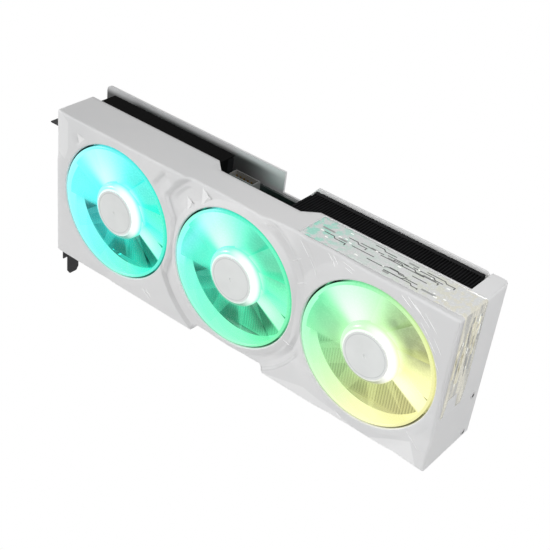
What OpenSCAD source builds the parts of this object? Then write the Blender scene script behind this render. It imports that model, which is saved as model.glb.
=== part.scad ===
// Graphics card with three fans, a flow-through tail and a two-slot bracket.
// Lengths are in millimetres. Inside cooler_frame() x runs from the shroud's bracket end to the tail,
// y from the fan face to the backplate, and z up from the shroud's lower edge.

/* [Shroud] */
// Length of the shroud
shroud_len = 305; // [300:0.5:312]
// Height of the shroud
shroud_h = 107.6; // [107:0.2:112]
// Wall of the shroud
shroud_wall = 2; // [1.6:0.1:2.4]
// Depth of the side band at the bracket end
band_left = 31; // [28:0.5:33]
// Depth of the side band behind the middle fan
band_mid = 22.5; // [20:0.5:26]
// Depth of the side band at the tail
band_right = 30.3; // [28:0.1:33]
// Where the side band narrows
band_x0 = 112.6; // [108:0.2:118]
// Where the side band widens again
band_x1 = 191.9; // [186:0.1:198]
// Length of each slant in the side band
band_slant = 9; // [6:0.5:12]
// Length of the full-depth cap at the tail
cap_len = 11.3; // [10:0.1:14]
// Radius of the cap's rear corner
cap_round = 4; // [2:0.5:6]
// Chamfer along the front edge at the bracket end
left_chamfer = 2.6; // [1:0.2:4]
// Chamfer along the other front edges
front_chamfer = 0.8; // [0.4:0.1:1.4]
// Where the notch in the lower edge starts
notch_x0 = 126.5; // [122:0.5:130]
// Where the notch in the lower edge ends
notch_x1 = 184.8; // [180:0.1:188]
// Height of the notch in the lower edge
notch_h = 4.6; // [3:0.1:5]
// Run of the notch's slanted sides
notch_run = 4; // [2:0.5:6]
// Radius of the shallow recess round the middle fan
recess_r = 59; // [56:0.5:62]
// Depth of the shallow recess
recess_d = 0.9; // [0.5:0.1:1.2]
// Run of the recess's sloped edge
recess_run = 4; // [2:0.5:6]

/* [Fans] */
// First fan axis from the bracket end of the shroud
fan_x0 = 54.9; // [53:0.1:57]
// Last fan axis from the tail end of the shroud
fan_end = 50.7; // [49:0.1:53]
// Height of the fan axes above the middle of the shroud
fan_lift = 1.3; // [0.6:0.1:1.8]
// Least web between neighbouring fan openings
fan_web = 7.7; // [7.2:0.1:10]
// Least web between a fan opening and the shroud's upper edge
top_web = 6.5; // [6.1:0.1:8]
// Gap between a fan ring and its opening
tip_gap = 1.2; // [0.8:0.1:1.6]
// Wall of a fan ring
ring_t = 1.8; // [1.2:0.1:2.4]
// Depth of a fan ring
ring_d = 12.6; // [11:0.1:13]
// Blades on each fan
blade_n = 11; // [7:1:13]
// Thickness of a blade
blade_t = 1.2; // [0.8:0.1:1.6]
// Tangential chord of a blade
blade_chord = 22; // [18:0.5:24]
// Rise of a blade's camber
blade_sag = 2; // [1:0.1:3]
// Radius of a hub
hub_r = 19.5; // [19:0.1:21]
// Radius of a hub cap
hub_cap_r = 15; // [13:0.1:15.4]
// Thickness of a hub cap
hub_cap_t = 0.8; // [0.6:0.1:1.2]
// Radius of a fan shaft
shaft_r = 1.5; // [1.2:0.05:1.8]
// Running clearance of a shaft in its bearing
shaft_clear = 0.03; // [0.02:0.01:0.08]
// Outer radius of a bearing
bearing_r = 2.98; // [2.6:0.02:3.2]
// Outer radius of a rotor magnet
magnet_r = 16.6; // [16:0.1:17]
// Thickness of a rotor magnet
magnet_t = 1.6; // [1.2:0.1:2]
// Wall of the collar round each fan opening
collar_t = 1.6; // [1.2:0.1:1.8]
// Gap between a fan ring and the frame behind it
ring_gap = 1.4; // [1.2:0.1:1.8]
// Thickness of the fan frames
frame_t = 2; // [1.6:0.1:2.2]

/* [Board] */
// Thickness of the circuit board
board_t = 1.6; // [1.4:0.05:1.8]
// Length of the circuit board
board_len = 179; // [177:0.5:182]
// Height of the circuit board with its contact edge
board_h = 111.15; // [110:0.05:112]
// Height of the contact edge
edge_h = 8; // [7:0.1:8.6]
// Length of the contact edge before the key slot
edge_short = 11.65; // [11.6:0.05:12]
// Length of the contact edge after the key slot
edge_long = 71.65; // [71.6:0.05:72]
// Width of the key slot
key_w = 1.9; // [1.7:0.05:2]
// Distance from the key slot to the outer face of the bracket
key_to_bracket = 57.15; // [56:0.05:59]
// Distance from the shroud's lower edge down to the contact edge
edge_drop = 16.6; // [16:0.1:18]
// Distance from the fan face to the component side of the board
cooler_d = 45.9; // [45.6:0.1:48]
// Gap between the board and the backplate
back_gap = 3.7; // [3.4:0.1:5]
// Thickness of the backplate
backplate_t = 1.5; // [1:0.1:2]
// Radius of the backplate's corners
backplate_round = 4; // [2:0.5:6]

/* [Bracket] */
// Thickness of the bracket's sheet
bracket_t = 0.86; // [0.8:0.02:1]
// Width of the bracket
bracket_w = 38.74; // [38:0.02:39.2]
// Overall height of the bracket
bracket_h = 120.02; // [119:0.02:121]
// Distance from the contact edge down to the bracket's lowest point
bracket_drop = 15; // [14:0.1:16]
// Length of the bracket's flange
flange_len = 11.43; // [10.5:0.05:12]
// Width of a tongue
tongue_w = 10.19; // [9.6:0.01:10.4]
// Pitch of the slots in a case
slot_pitch = 20.32; // [20:0.02:20.6]
// Width of the screw notches in the flange
screw_notch_w = 4.42; // [4.3:0.02:5]
// Gap between the bracket and the shroud
bracket_setback = 6.5; // [6.2:0.1:7.5]

/* [Cooler] */
// Pitch of the fins
fin_pitch = 1.9; // [1.8:0.1:2.6]
// Thickness of a fin
fin_t = 0.4; // [0.3:0.05:0.6]
// Depth from the fan face to the fins
fin_y0 = 19; // [18.8:0.1:20.5]
// Height of the fins' lower edge
fin_z0 = 10; // [9.6:0.1:12]
// Radius of a heat pipe
pipe_r = 3; // [2.5:0.1:3.2]
// Distance between heat pipes
pipe_pitch = 11; // [9:0.2:12]
// Heat pipes
pipe_n = 5; // [3:2:5]
// Thickness of the cooling plate
plate_t = 2; // [1.5:0.1:2]
// Thickness of the memory pads
pad_t = 1.5; // [1.2:0.1:1.8]

/* [Power socket] */
// Width of the power socket
power_w = 19.5; // [18:0.1:20]
// Depth of the power socket off the board
power_d = 7.7; // [7:0.1:7.8]
// Height of the power socket
power_h = 13; // [12:0.2:14]
// Left side of the power socket from the bracket end
power_x = 115; // [114.4:0.1:115.4]

/* [Hidden] */
$fn = 64;
over = 1;

// Clearances of a press fit, a thread, a screw in its hole, and pieces set side by side
fit_gap = 0.02;
thread_gap = 0.05;
hole_gap = 0.2;
side_gap = 0.4;

// Places across the card
board_inset = 0.64;
key_x = key_to_bracket - bracket_setback;
card_d = cooler_d + board_t + back_gap + backplate_t;
cap_x = shroud_len - cap_len;
inner_top = shroud_h - shroud_wall;
inner_end = shroud_len - shroud_wall;
board_x0 = bracket_t + board_inset - bracket_setback;
board_x1 = board_x0 + board_len;
board_y1 = cooler_d + board_t;
board_z0 = edge_h - edge_drop;
board_z1 = board_h - edge_drop;
edge_x0 = key_x - key_w / 2 - edge_short;
edge_x1 = key_x + key_w / 2 + edge_long;
backplate_y0 = board_y1 + back_gap;
fan_pitch = (shroud_len - fan_x0 - fan_end) / 2;
fan_x = [for (i = [0:2]) fan_x0 + i * fan_pitch];
fan_z = shroud_h / 2 + fan_lift;
hole_r = min((fan_pitch - fan_web) / 2, shroud_h - fan_z - top_web);

// Fan sizes, with depths from the fan face
collar_d = ring_d + ring_gap;
ring_r = hole_r - tip_gap;
ring_y0 = 0.2;
hub_d = ring_d - ring_y0;
hub_slope_d = 5;
ear_reach = 7;
ear_off = (hole_r + ear_reach) * cos(45);
ear_r = 3.4;
boss_r = 3;
fan_screw_r = 1.05;
fan_screw_y0 = shroud_wall + 3;
fan_head_r = 2.2;
fan_head_h = 1.8;
frame_y1 = collar_d + frame_t;
disc_lap = 1.5;
frame_disc_r = hub_r + disc_lap;
strut_w = 3.4;
strut_angles = [90, 210, 330];
bearing_wall = 1.1;
bearing_set = 0.2;
post_r = bearing_r + bearing_wall;
post_y0 = 6;
fan_board_t = 0.8;
fan_board_y0 = collar_d - fan_board_t;
stator_y0 = 6.4;
stator_back = 2.8;
stator_y1 = collar_d - stator_back;
pole_n = 6;
pole_w = 3;
air_gap = 1.1;
pole_r = magnet_r - magnet_t - air_gap;
coil_w = 5.4;
coil_over = 0.7;
magnet_y0 = 5.8;
magnet_back = 0.2;

// Chips on the component side of the board
processor_x = 82;
processor_z = 46;
base_w = 37;
base_t = 1.2;
die_w = 20;
die_h = 18;
die_t = 0.8;
die_y0 = cooler_d - base_t - die_t;
memory_w = 12;
memory_h = 14;
memory_side = 34;
memory_step = 20;
memory_drop = 35;
memory_pair = 9;
memory_at = concat(
    [for (dx = [-1, 1], k = [-1, 0, 1]) [processor_x + dx * memory_side, processor_z + k * memory_step]],
    [for (dx = [-1, 1]) [processor_x + dx * memory_pair, processor_z - memory_drop]]
);
supply_z0 = 12;
supply_step = 13;
supply_z = [for (i = [0:5]) supply_z0 + i * supply_step];
header_x = [98, 120, 132];
header_z = board_z0 + 4.6;
header_w = 8;
header_h = 5;
header_d = 5.5;

// Power socket
power_rise = 2.4;
power_y0 = cooler_d - power_d;
power_z0 = board_z1 + power_rise - power_h;
power_wall = 0.9;
power_floor = 3;
power_pin_pitch = 3;
power_pin_w = 0.8;
power_pin_y = cooler_d - 2.2;
power_pin_z = [power_z0 + 0.4, power_z0 + power_h - 2];

// Cooler sizes
cold_w = 48;
cold_h = 54;
plate_y1 = cooler_d - base_t - pad_t;
plate_y0 = plate_y1 - plate_t;
pipe_clear = 0.3;
pipe_y = plate_y0 - pipe_clear - pipe_r;
pipe_gap = 0.03;
pipe_x0 = 14;
pipe_end = 8;
pipe_x1 = cap_x - pipe_end;
pipe_z = [for (i = [0:pipe_n - 1]) processor_z + (i - (pipe_n - 1) / 2) * pipe_pitch];
post_span = 64;
post_at = [for (dx = [-1, 1], dz = [-1, 1])
    [processor_x + dx * post_span / 2, processor_z + dz * post_span / 2]];
clamp_screw_r = 1.25;
spring_t = 1.2;

// Fins
fin_x0 = 10;
fin_side = 2;
fin_left_x1 = power_x - fin_side;
fin_middle_x0 = fin_left_x1 + 1.6;
fin_low_x1 = power_x + power_w + 0.5;
fin_ramp = 11;
fin_ramp_x0 = board_x1 - fin_ramp;
fin_board_gap = 1;
fin_tail_x0 = board_x1 + fin_board_gap;
fin_tail_x1 = cap_x - 0.6;
fin_low_z = 82;
fin_step_z = 93;
fin_band_drop = 3.2;
fin_band_top = inner_top - fin_band_drop;
cover_t = 0.6;
cover_drop = 0.6;
fin_top = shroud_h - cover_drop - cover_t;
fin_shelf_z = board_z1 + 1.5;
fin_shelf_y1 = cooler_d - 1.4;
fin_tail_y1 = board_y1 + 2;

// Rail under the fins
rail_t = 1.4;
rail_w = 5.6;
rail_inset = 1.3;
rail_y1 = min(band_left, band_right) - rail_inset;
rail_y = [rail_y1 - rail_w, rail_y1];
rail_x = [20, cap_x - 12];
rail_screw_x = [32, 98, 226, cap_x - 20];
rail_screw_y = rail_y1 - rail_w / 2;
rail_boss_r = 3;
rail_head_r = 2.2;
rail_head_h = 1.6;
rail_head_z = shroud_wall - rail_head_h;

// Fan leads
lead_r = 1;
lead_gap = 0.3;
lead_y = frame_y1 + lead_gap + lead_r;
lead_z = fin_z0 - rail_t - 2 * lead_gap - lead_r;
lead_back = 10.4;
lead_back_y = cooler_d - lead_back;
lead_side = 6;
lead_in = 14;
lead_fall = 27.1;
lead_rise = 6;

// Corner panel
panel_x0 = 196;
panel_y0 = 5;
panel_edge = 1.5;
panel_y1 = band_right - panel_edge;
panel_gap = 0.2;
panel_lip = 1.3;
panel_lip_t = 1;
panel_end_z = 37;
panel_fork_z = 48;
panel_fork_y = [10, 20];
panel_fork_lean = 2;

// Tail bracket
tail_t = 1.5;
tail_foot = 19;
tail_z = [shroud_wall + hole_gap, 100];
end_screw_y = 42;
tail_y0 = end_screw_y - 6;
end_screw_z = [shroud_wall + 2.5, 33];
tail_screw_z = [30, 80];
tail_screw_x = cap_x - 6;

// Bracket
bracket_x0 = -bracket_setback;
bracket_x1 = bracket_x0 + bracket_t;
bracket_lap = 2.5;
bracket_y1 = board_y1 + bracket_lap;
bracket_y0 = bracket_y1 - bracket_w;
bracket_z0 = -edge_drop - bracket_drop;
bracket_z1 = bracket_z0 + bracket_h;
tongue_back = 5.1;
tongue_y = [cooler_d - tongue_back, cooler_d - tongue_back - slot_pitch];
tongue_len = 15.5;
bracket_tab_z = [board_z0 + 2.6, board_z1 - 16.5];
bracket_tab_w = 8;
bracket_tab_len = 9;
bracket_hole_x = bracket_x1 + bracket_tab_len - 4;

// Video sockets
socket_z = [12, 32, 52, 70];
socket_w = [16.4, 16.4, 16.4, 15];
socket_d = 5.5;
socket_len = 18.6;
socket_wall = 0.5;
socket_back = 2;
socket_x0 = bracket_x0 - side_gap;
socket_x1 = socket_x0 + socket_len - socket_back;

// Fastening of the backplate
standoff_at = [[14, 88], [14, 4.5], [66, 88], [60, 4.5], [board_x1 - 8, 86], [board_x1 - 8, 4.5]];
standoff_r = 2.6;
standoff_bore_r = 0.9;
standoff_bore_y = board_y1 + 0.8;
plate_screw_r = 1.25;
plate_head_r = 2.4;
plate_head_h = 1;

// Draws its 2D child in x and z, from y0 to y1
module along_y(y0, y1)
    translate([0, y1, 0]) rotate([90, 0, 0]) linear_extrude(y1 - y0) children();

// Draws its 2D child in y and z, from x0 to x1
module along_x(x0, x1)
    translate([x0, 0, 0]) rotate([90, 0, 90]) linear_extrude(x1 - x0) children();

// Box between two corners
module block(lo, hi) translate(lo) cube(hi - lo);

// Round bar along y
module peg(x, z, r, y0, y1)
    translate([x, y1, z]) rotate([90, 0, 0]) cylinder(r = r, h = y1 - y0);

// Pan-head screw along y, head towards the backplate
module back_screw(x, z, head_y, tip_y, r, head_r, head_h) {
    peg(x, z, r, tip_y, head_y);
    difference() {
        peg(x, z, head_r, head_y, head_y + head_h);
        translate([x, head_y + head_h / 2, z]) rotate([-90, 0, 0]) cross_slot(head_r, head_h);
    }
}

// Cross recess of a screw head, from half its height outwards
module cross_slot(head_r, head_h) {
    slot = head_r * 0.3;
    for (a = [0, 90])
        rotate([0, 0, a]) translate([-head_r * 0.6, -slot / 2, 0]) cube([head_r * 1.2, slot, head_h]);
}

// Rectangle with round corners
module round_rect(lo, hi, r) {
    translate(lo + [r, 0]) square(hi - lo - [2 * r, 0]);
    translate(lo + [0, r]) square(hi - lo - [0, 2 * r]);
    for (x = [lo[0] + r, hi[0] - r], y = [lo[1] + r, hi[1] - r]) translate([x, y]) circle(r);
}

// Slot with round ends, centred, its length along the second axis
module slot2d(w, l) {
    square([w, l - w], center = true);
    for (s = [-1, 1]) translate([0, s * (l - w) / 2]) circle(w / 2);
}

// Moves from the shroud's corner to the key slot of the contact edge
module cooler_frame() translate([-key_x, -cooler_d - board_t / 2, edge_drop]) children();

// Places a fan; its own z runs from the fan face into the card
module at_fan(i) translate([fan_x[i], 0, fan_z]) rotate([-90, 0, 0]) children();

// Outline of the shroud from the front, drawn in by w
function shroud_outline(w) = [
    [w, w],
    [notch_x0 - w, w],
    [notch_x0 + notch_run - w, notch_h + w],
    [notch_x1 - notch_run + w, notch_h + w],
    [notch_x1 + w, w],
    [shroud_len - w, w],
    [shroud_len - w, shroud_h - w],
    [w, shroud_h - w]
];

// Depth of the side band at x
function band_depth(x) = lookup(x, [
    [0, band_left],
    [band_x0, band_left],
    [band_x0 + band_slant, band_mid],
    [band_x1 - band_slant, band_mid],
    [band_x1, band_right],
    [cap_x, band_right]
]);

// Plan of the shroud from above
module shroud_plan() {
    difference() {
        polygon([
            [0, 0],
            [shroud_len, 0],
            [shroud_len, card_d],
            [cap_x, card_d],
            [cap_x, band_right],
            [band_x1, band_right],
            [band_x1 - band_slant, band_mid],
            [band_x0 + band_slant, band_mid],
            [band_x0, band_left],
            [0, band_left]
        ]);
        translate([shroud_len - cap_round, card_d - cap_round]) difference() {
            square(cap_round + over);
            circle(cap_round);
        }
    }
}

// Outline of the corner panel on the end face, grown by g
module panel_end_outline(g) {
    polygon([
        [panel_y0 - g, shroud_h],
        [panel_y0 - g, panel_end_z - g],
        [panel_fork_y[0] - panel_fork_lean + g, panel_end_z - g],
        [panel_fork_y[0] + g, panel_fork_z - g],
        [panel_fork_y[1] - g, panel_fork_z - g],
        [panel_fork_y[1] + panel_fork_lean / 2 - g, panel_end_z - g],
        [panel_y1 - panel_fork_lean + g, panel_end_z - g],
        [panel_y1 + g, panel_fork_z - g],
        [panel_y1 + g, shroud_h]
    ]);
}

// Skin of the corner panel, grown by g
module panel_skin(g) {
    block([panel_x0 - g, panel_y0 - g, inner_top], [shroud_len, panel_y1 + g, shroud_h]);
    along_x(inner_end, shroud_len) panel_end_outline(g);
}

module fan_boss(x, z) peg(x, z, boss_r, shroud_wall / 2, collar_d);

module shroud_body() {
    intersection() {
        union() {
            along_y(0, card_d) difference() {
                polygon(shroud_outline(0));
                polygon(shroud_outline(shroud_wall));
            }
            block([cap_x, backplate_y0, 0], [shroud_len, card_d, shroud_h]);
        }
        translate([0, 0, -over]) linear_extrude(shroud_h + 2 * over) shroud_plan();
    }
    along_y(0, shroud_wall) polygon(shroud_outline(0));
    for (i = [0:2], dx = [-1, 1], dz = [-1, 1])
        fan_boss(fan_x[i] + dx * ear_off, fan_z + dz * ear_off);
    for (x = fan_x) peg(x, fan_z, hole_r + collar_t, shroud_wall / 2, collar_d);
    for (x = rail_screw_x) translate([x, rail_screw_y, shroud_wall / 2])
        cylinder(r = rail_boss_r, h = fin_z0 - rail_t - shroud_wall / 2);
}

// What a chamfer of size c takes off a corner at the origin
module corner_cut(c) polygon([[-over, -over], [c, -over], [c, 0], [0, c], [-over, c]]);

module front_shroud() {
    color("whitesmoke") cooler_frame() difference() {
        shroud_body();
        for (x = fan_x) peg(x, fan_z, hole_r, -over, collar_d + over);
        at_fan(1) translate([0, 0, -fit_gap])
            cylinder(r1 = recess_r, r2 = recess_r - recess_run, h = recess_d + fit_gap);
        for (i = [0:2], dx = [-1, 1], dz = [-1, 1])
            peg(fan_x[i] + dx * ear_off, fan_z + dz * ear_off, fan_screw_r + thread_gap,
                fan_screw_y0 - over, collar_d + over);
        for (x = rail_screw_x) translate([x, rail_screw_y, -over]) {
            cylinder(r = clamp_screw_r + hole_gap, h = fin_z0 + over);
            cylinder(r = rail_head_r + hole_gap, h = over + shroud_wall);
        }
        panel_skin(panel_gap);
        for (z = end_screw_z) translate([inner_end - over, end_screw_y, z]) rotate([0, 90, 0])
            cylinder(r = clamp_screw_r + hole_gap, h = shroud_wall + 2 * over);
        translate([0, 0, -over]) linear_extrude(shroud_h + 2 * over) corner_cut(left_chamfer);
        along_x(-over, shroud_len + over) translate([0, shroud_h]) mirror([0, 1]) corner_cut(front_chamfer);
    }
}

module corner_panel() {
    color([0.82, 0.95, 0.88, 0.8]) cooler_frame() {
        panel_skin(0);
        block([panel_x0 - panel_lip, panel_y0 - panel_lip, inner_top - panel_lip_t],
            [inner_end, panel_y1 + panel_lip, inner_top]);
        intersection() {
            along_x(inner_end - panel_lip_t, inner_end) panel_end_outline(panel_lip);
            block([0, 0, 0], [shroud_len, card_d, inner_top]);
        }
    }
}

// Lamp strip glued under the corner panel
module panel_lamps() {
    strip_end = 6;
    strip_w = 6;
    strip_x = [panel_x0 + strip_end, inner_end - strip_end];
    strip_y0 = frame_y1 + 2;
    strip_t = 0.8;
    lamp = 3;
    lamp_n = 8;
    strip_z1 = inner_top - panel_lip_t;
    step = (strip_x[1] - strip_x[0]) / lamp_n;
    color("ivory") cooler_frame() {
        block([strip_x[0], strip_y0, strip_z1 - strip_t], [strip_x[1], strip_y0 + strip_w, strip_z1]);
        for (i = [0:lamp_n - 1])
            translate([strip_x[0] + (i + 0.5) * step, strip_y0 + strip_w / 2, strip_z1 - 2 * strip_t])
                translate([-lamp / 2, -lamp / 2, 0]) cube([lamp, lamp, strip_t]);
    }
}

// Slanted vent slots over the flow-through tail
module backplate_vents() {
    vent_w = 4.4;
    vent_l = 36;
    vent_step = 8;
    vent_lean = 14;
    vent_rise = 22;
    vent_x = [fin_tail_x0 + 12, cap_x - 18];
    vent_n = floor((vent_x[1] - vent_x[0]) / vent_step);
    for (i = [0:vent_n], side = [-1, 1])
        translate([vent_x[0] + i * vent_step, shroud_h / 2 + side * vent_rise])
            rotate(-vent_lean) slot2d(vent_w, vent_l);
}

module backplate() {
    notch_z = fin_step_z + side_gap;
    notch_x = board_x1 - 25.3;
    start_x = bracket_x0 + 0.1;
    color("white") cooler_frame() along_y(backplate_y0, card_d) difference() {
        round_rect([start_x, 0], [cap_x - side_gap, shroud_h], backplate_round);
        polygon([
            [notch_x, shroud_h + over],
            [notch_x, notch_z],
            [fin_ramp_x0, notch_z],
            [board_x1, shroud_h],
            [board_x1, shroud_h + over]
        ]);
        backplate_vents();
        for (p = standoff_at) translate(p) circle(plate_screw_r + hole_gap);
        for (z = tail_screw_z) translate([tail_screw_x, z]) circle(plate_screw_r + hole_gap);
    }
}

// Outline of the bracket's plate from its outer side, in y and z
module bracket_plate() {
    body_z0 = bracket_z0 + tongue_len;
    tip = [2, 3];
    half = tongue_w / 2;
    translate([bracket_y0, body_z0]) square([bracket_w, bracket_z1 - body_z0]);
    for (y = tongue_y) polygon([
        [y - half, body_z0 + over],
        [y - half, bracket_z0 + tip[1]],
        [y - half + tip[0], bracket_z0],
        [y + half - tip[0], bracket_z0],
        [y + half, bracket_z0 + tip[1]],
        [y + half, body_z0 + over]
    ]);
}

// Openings of the bracket for the sockets and the warm air
module bracket_openings() {
    vent_h = 3;
    vent_step = 5.4;
    vent_w = 19;
    vent_n = 16;
    vent_side = 3.4;
    vent_y = bracket_y0 + vent_side + vent_w / 2;
    for (i = [0:3])
        translate([cooler_d - socket_d - side_gap, socket_z[i] - socket_w[i] / 2 - side_gap])
            square([socket_d + 2 * side_gap, socket_w[i] + 2 * side_gap]);
    for (i = [0:vent_n - 1])
        translate([vent_y, i * vent_step]) rotate(90) slot2d(vent_h, vent_w);
}

module slot_bracket() {
    flange_x0 = bracket_x0 - flange_len;
    flange_z0 = bracket_z1 - bracket_t;
    screw_notch_d = 6;
    notch_r = screw_notch_w / 2;
    notch_x = flange_x0 + screw_notch_d - notch_r;
    color([0.12, 0.12, 0.13]) cooler_frame() {
        along_x(bracket_x0, bracket_x1) difference() {
            bracket_plate();
            bracket_openings();
        }
        difference() {
            block([flange_x0, bracket_y0, flange_z0], [bracket_x0, bracket_y1, bracket_z1]);
            for (y = tongue_y) {
                block([flange_x0 - over, y - notch_r, flange_z0 - over],
                    [notch_x, y + notch_r, bracket_z1 + over]);
                translate([notch_x, y, flange_z0 - over]) cylinder(r = notch_r, h = bracket_t + 2 * over);
            }
        }
        for (z = bracket_tab_z) difference() {
            block([bracket_x1, board_y1, z],
                [bracket_x1 + bracket_tab_len, board_y1 + bracket_t, z + bracket_tab_w]);
            peg(bracket_hole_x, z + bracket_tab_w / 2, clamp_screw_r + fit_gap,
                board_y1 - over, board_y1 + bracket_t + over);
        }
    }
}

// Outline of the circuit board in x and z
module board_outline() {
    key_depth = edge_h - side_gap;
    latch_w = 3;
    latch_rise = 2;
    translate([board_x0, board_z0]) square([board_len, board_z1 - board_z0]);
    difference() {
        translate([edge_x0, -edge_drop]) square([edge_x1 - edge_x0, edge_h + over]);
        translate([key_x - key_w / 2, -edge_drop - over]) square([key_w, key_depth + over]);
    }
    translate([edge_x1 + latch_w, -edge_drop + latch_rise]) square([latch_w, edge_h]);
}

module circuit_board() {
    color([0.06, 0.07, 0.07]) cooler_frame() along_y(cooler_d, board_y1) difference() {
        board_outline();
        for (p = standoff_at) translate(p) circle(clamp_screw_r + thread_gap);
        for (p = post_at) translate(p) circle(clamp_screw_r + hole_gap);
        for (z = bracket_tab_z)
            translate([bracket_hole_x, z + bracket_tab_w / 2]) circle(clamp_screw_r + hole_gap);
    }
}

module edge_contacts() {
    contact_w = 0.7;
    contact_h = 5;
    contact_t = 0.08;
    contact_rise = 0.8;
    contact_z = contact_rise - edge_drop;
    first = 1.5;
    pitch = 1;
    offsets = concat([for (i = [0:10]) -first - i * pitch], [for (i = [0:70]) first + i * pitch]);
    color("gold") cooler_frame() for (dx = offsets, y = [cooler_d - contact_t, board_y1])
        translate([key_x + dx - contact_w / 2, y, contact_z]) cube([contact_w, contact_t, contact_h]);
}

// Square chip on the component side of the board
module chip(x, z, w, h, t, y1 = cooler_d)
    block([x - w / 2, y1 - t, z - h / 2], [x + w / 2, y1, z + h / 2]);

module processor_base() {
    color("darkgreen") cooler_frame() chip(processor_x, processor_z, base_w, base_w, base_t);
}

module processor_die() {
    color("slategray") cooler_frame()
        chip(processor_x, processor_z, die_w, die_h, die_t, cooler_d - base_t);
}

module memory_chips() {
    color([0.1, 0.1, 0.1]) cooler_frame() for (p = memory_at) chip(p[0], p[1], memory_w, memory_h, base_t);
}

module memory_pads() {
    color("lightgray") cooler_frame()
        for (p = memory_at) chip(p[0], p[1], memory_w, memory_h, pad_t, cooler_d - base_t);
}

module power_stages() {
    stage_x0 = 29;
    stage_x1 = 138;
    stage_w = 5;
    stage_h = 6;
    stage_t = 0.9;
    color([0.15, 0.15, 0.15]) cooler_frame()
        for (x = [stage_x0, stage_x1], z = supply_z) chip(x, z, stage_w, stage_h, stage_t);
}

module chokes() {
    choke_x0 = 20;
    choke_x1 = 148;
    choke_w = 7;
    choke_t = 4;
    color("dimgray") cooler_frame()
        for (x = [choke_x0, choke_x1], z = supply_z) chip(x, z, choke_w, choke_w, choke_t);
}

module capacitors() {
    can_r = 3.1;
    can_h = 4.8;
    can_x = 158;
    can_shift = 2;
    color("silver") cooler_frame()
        for (z = supply_z) peg(can_x, z + can_shift, can_r, cooler_d - can_h, cooler_d);
}

// Pins of the power socket in two rows of six, grown by g
module power_pin_set(g) {
    half = power_pin_w / 2 + g;
    centre_x = power_x + power_w / 2;
    for (i = [0:5], row = [0, 1])
        let (x = centre_x + (i - 2.5) * power_pin_pitch, y = power_pin_y - row * power_pin_pitch)
            block([x - half, y - half, power_pin_z[0] - g], [x + half, y + half, power_pin_z[1]]);
}

module power_socket() {
    color("gainsboro") cooler_frame() difference() {
        block([power_x, power_y0, power_z0], [power_x + power_w, cooler_d, power_z0 + power_h]);
        block([power_x + power_wall, power_y0 + power_wall, power_z0 + power_floor],
            [power_x + power_w - power_wall, cooler_d - power_wall, power_z0 + power_h + over]);
        power_pin_set(fit_gap);
    }
}

module power_pins() {
    color("goldenrod") cooler_frame() power_pin_set(0);
}

// Metal shell of a video socket, open towards the bracket
module video_socket(i) {
    y0 = cooler_d - socket_d;
    z0 = socket_z[i] - socket_w[i] / 2;
    color("silver") cooler_frame() difference() {
        block([socket_x0, y0, z0], [socket_x0 + socket_len, cooler_d, z0 + socket_w[i]]);
        block([socket_x0 - over, y0 + socket_wall, z0 + socket_wall],
            [socket_x1, cooler_d - socket_wall, z0 + socket_w[i] - socket_wall]);
    }
}

module video_socket_1() video_socket(0);
module video_socket_2() video_socket(1);
module video_socket_3() video_socket(2);
module video_socket_4() video_socket(3);

module socket_tongues() {
    tongue_t = 1.4;
    tongue_side = 2.2;
    tongue_set = 2;
    color([0.1, 0.1, 0.1]) cooler_frame() for (i = [0:3])
        let (y = cooler_d - socket_d / 2, half = socket_w[i] / 2 - tongue_side)
            block([bracket_x0 + tongue_set, y - tongue_t / 2, socket_z[i] - half],
                [socket_x1, y + tongue_t / 2, socket_z[i] + half]);
}

module fan_headers() {
    color("white") cooler_frame() for (x = header_x) chip(x, header_z, header_w, header_h, header_d);
}

// Round lead swept along its points by carrying a ring from point to point
function unit(v) = v / norm(v);
function heading(p, i) = unit(p[min(i + 1, len(p) - 1)] - p[max(i - 1, 0)]);
function side_of(t, n) = unit(n - (n * t) * t);
function sides(p, i, n) = i == len(p) ? [] :
    let (m = side_of(heading(p, i), n)) concat([m], sides(p, i + 1, m));
module swept_lead(p, r, n) {
    m = sides(p, 0, [0, 1, 0.01]);
    rings = [for (i = [0:len(p) - 1]) let (t = heading(p, i), b = cross(t, m[i]))
        for (k = [0:n - 1]) p[i] + r * (cos(360 * k / n) * m[i] + sin(360 * k / n) * b)];
    last = (len(p) - 1) * n;
    walls = [for (i = [0:len(p) - 2], k = [0:n - 1]) let (a = i * n, j = (k + 1) % n)
        each [[a + k, a + n + j, a + j], [a + k, a + n + k, a + n + j]]];
    caps = concat([for (k = [1:n - 2]) [0, k, k + 1]], [for (k = [1:n - 2]) [last, last + k + 1, last + k]]);
    polyhedron(points = rings, faces = concat(caps, walls));
}

// Route of a fan's lead: out along a strut, down past the frame, under the fins and up to its header
function lead_route(i) =
    let (out = [cos(strut_angles[1]), 0, sin(strut_angles[1])], c = [fan_x[i], lead_y, fan_z],
        x = fan_x[i] - ear_off - lead_side, h = header_x[i], way = sign(h - x))
    [
        c + lead_in * out, c + (lead_in + hole_r) / 2 * out, c + hole_r * out,
        [x, lead_y, fan_z - lead_fall], [x, lead_y, lead_z + lead_rise],
        [x, lead_y + 0.6, lead_z + 2.2], [x, lead_y + 2.4, lead_z],
        [x, (lead_y + lead_back_y) / 2, lead_z], [x, lead_back_y - 2.6, lead_z],
        [x + 0.8 * way, lead_back_y - 0.8, lead_z],
        [x + 2.6 * way, lead_back_y, lead_z],
        [h - 2.6 * way, lead_back_y, lead_z], [h - 0.8 * way, lead_back_y, lead_z - 0.8],
        [h, lead_back_y, lead_z - 2.8], [h, lead_back_y + 0.2, header_z + 2.6],
        [h, lead_back_y + 1.6, header_z + 0.6], [h, lead_back_y + 3.4, header_z],
        [h, cooler_d - header_d, header_z]
    ];

module fan_leads() {
    color([0.12, 0.12, 0.12]) cooler_frame() for (i = [0:2]) swept_lead(lead_route(i), lead_r, 8);
}

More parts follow.
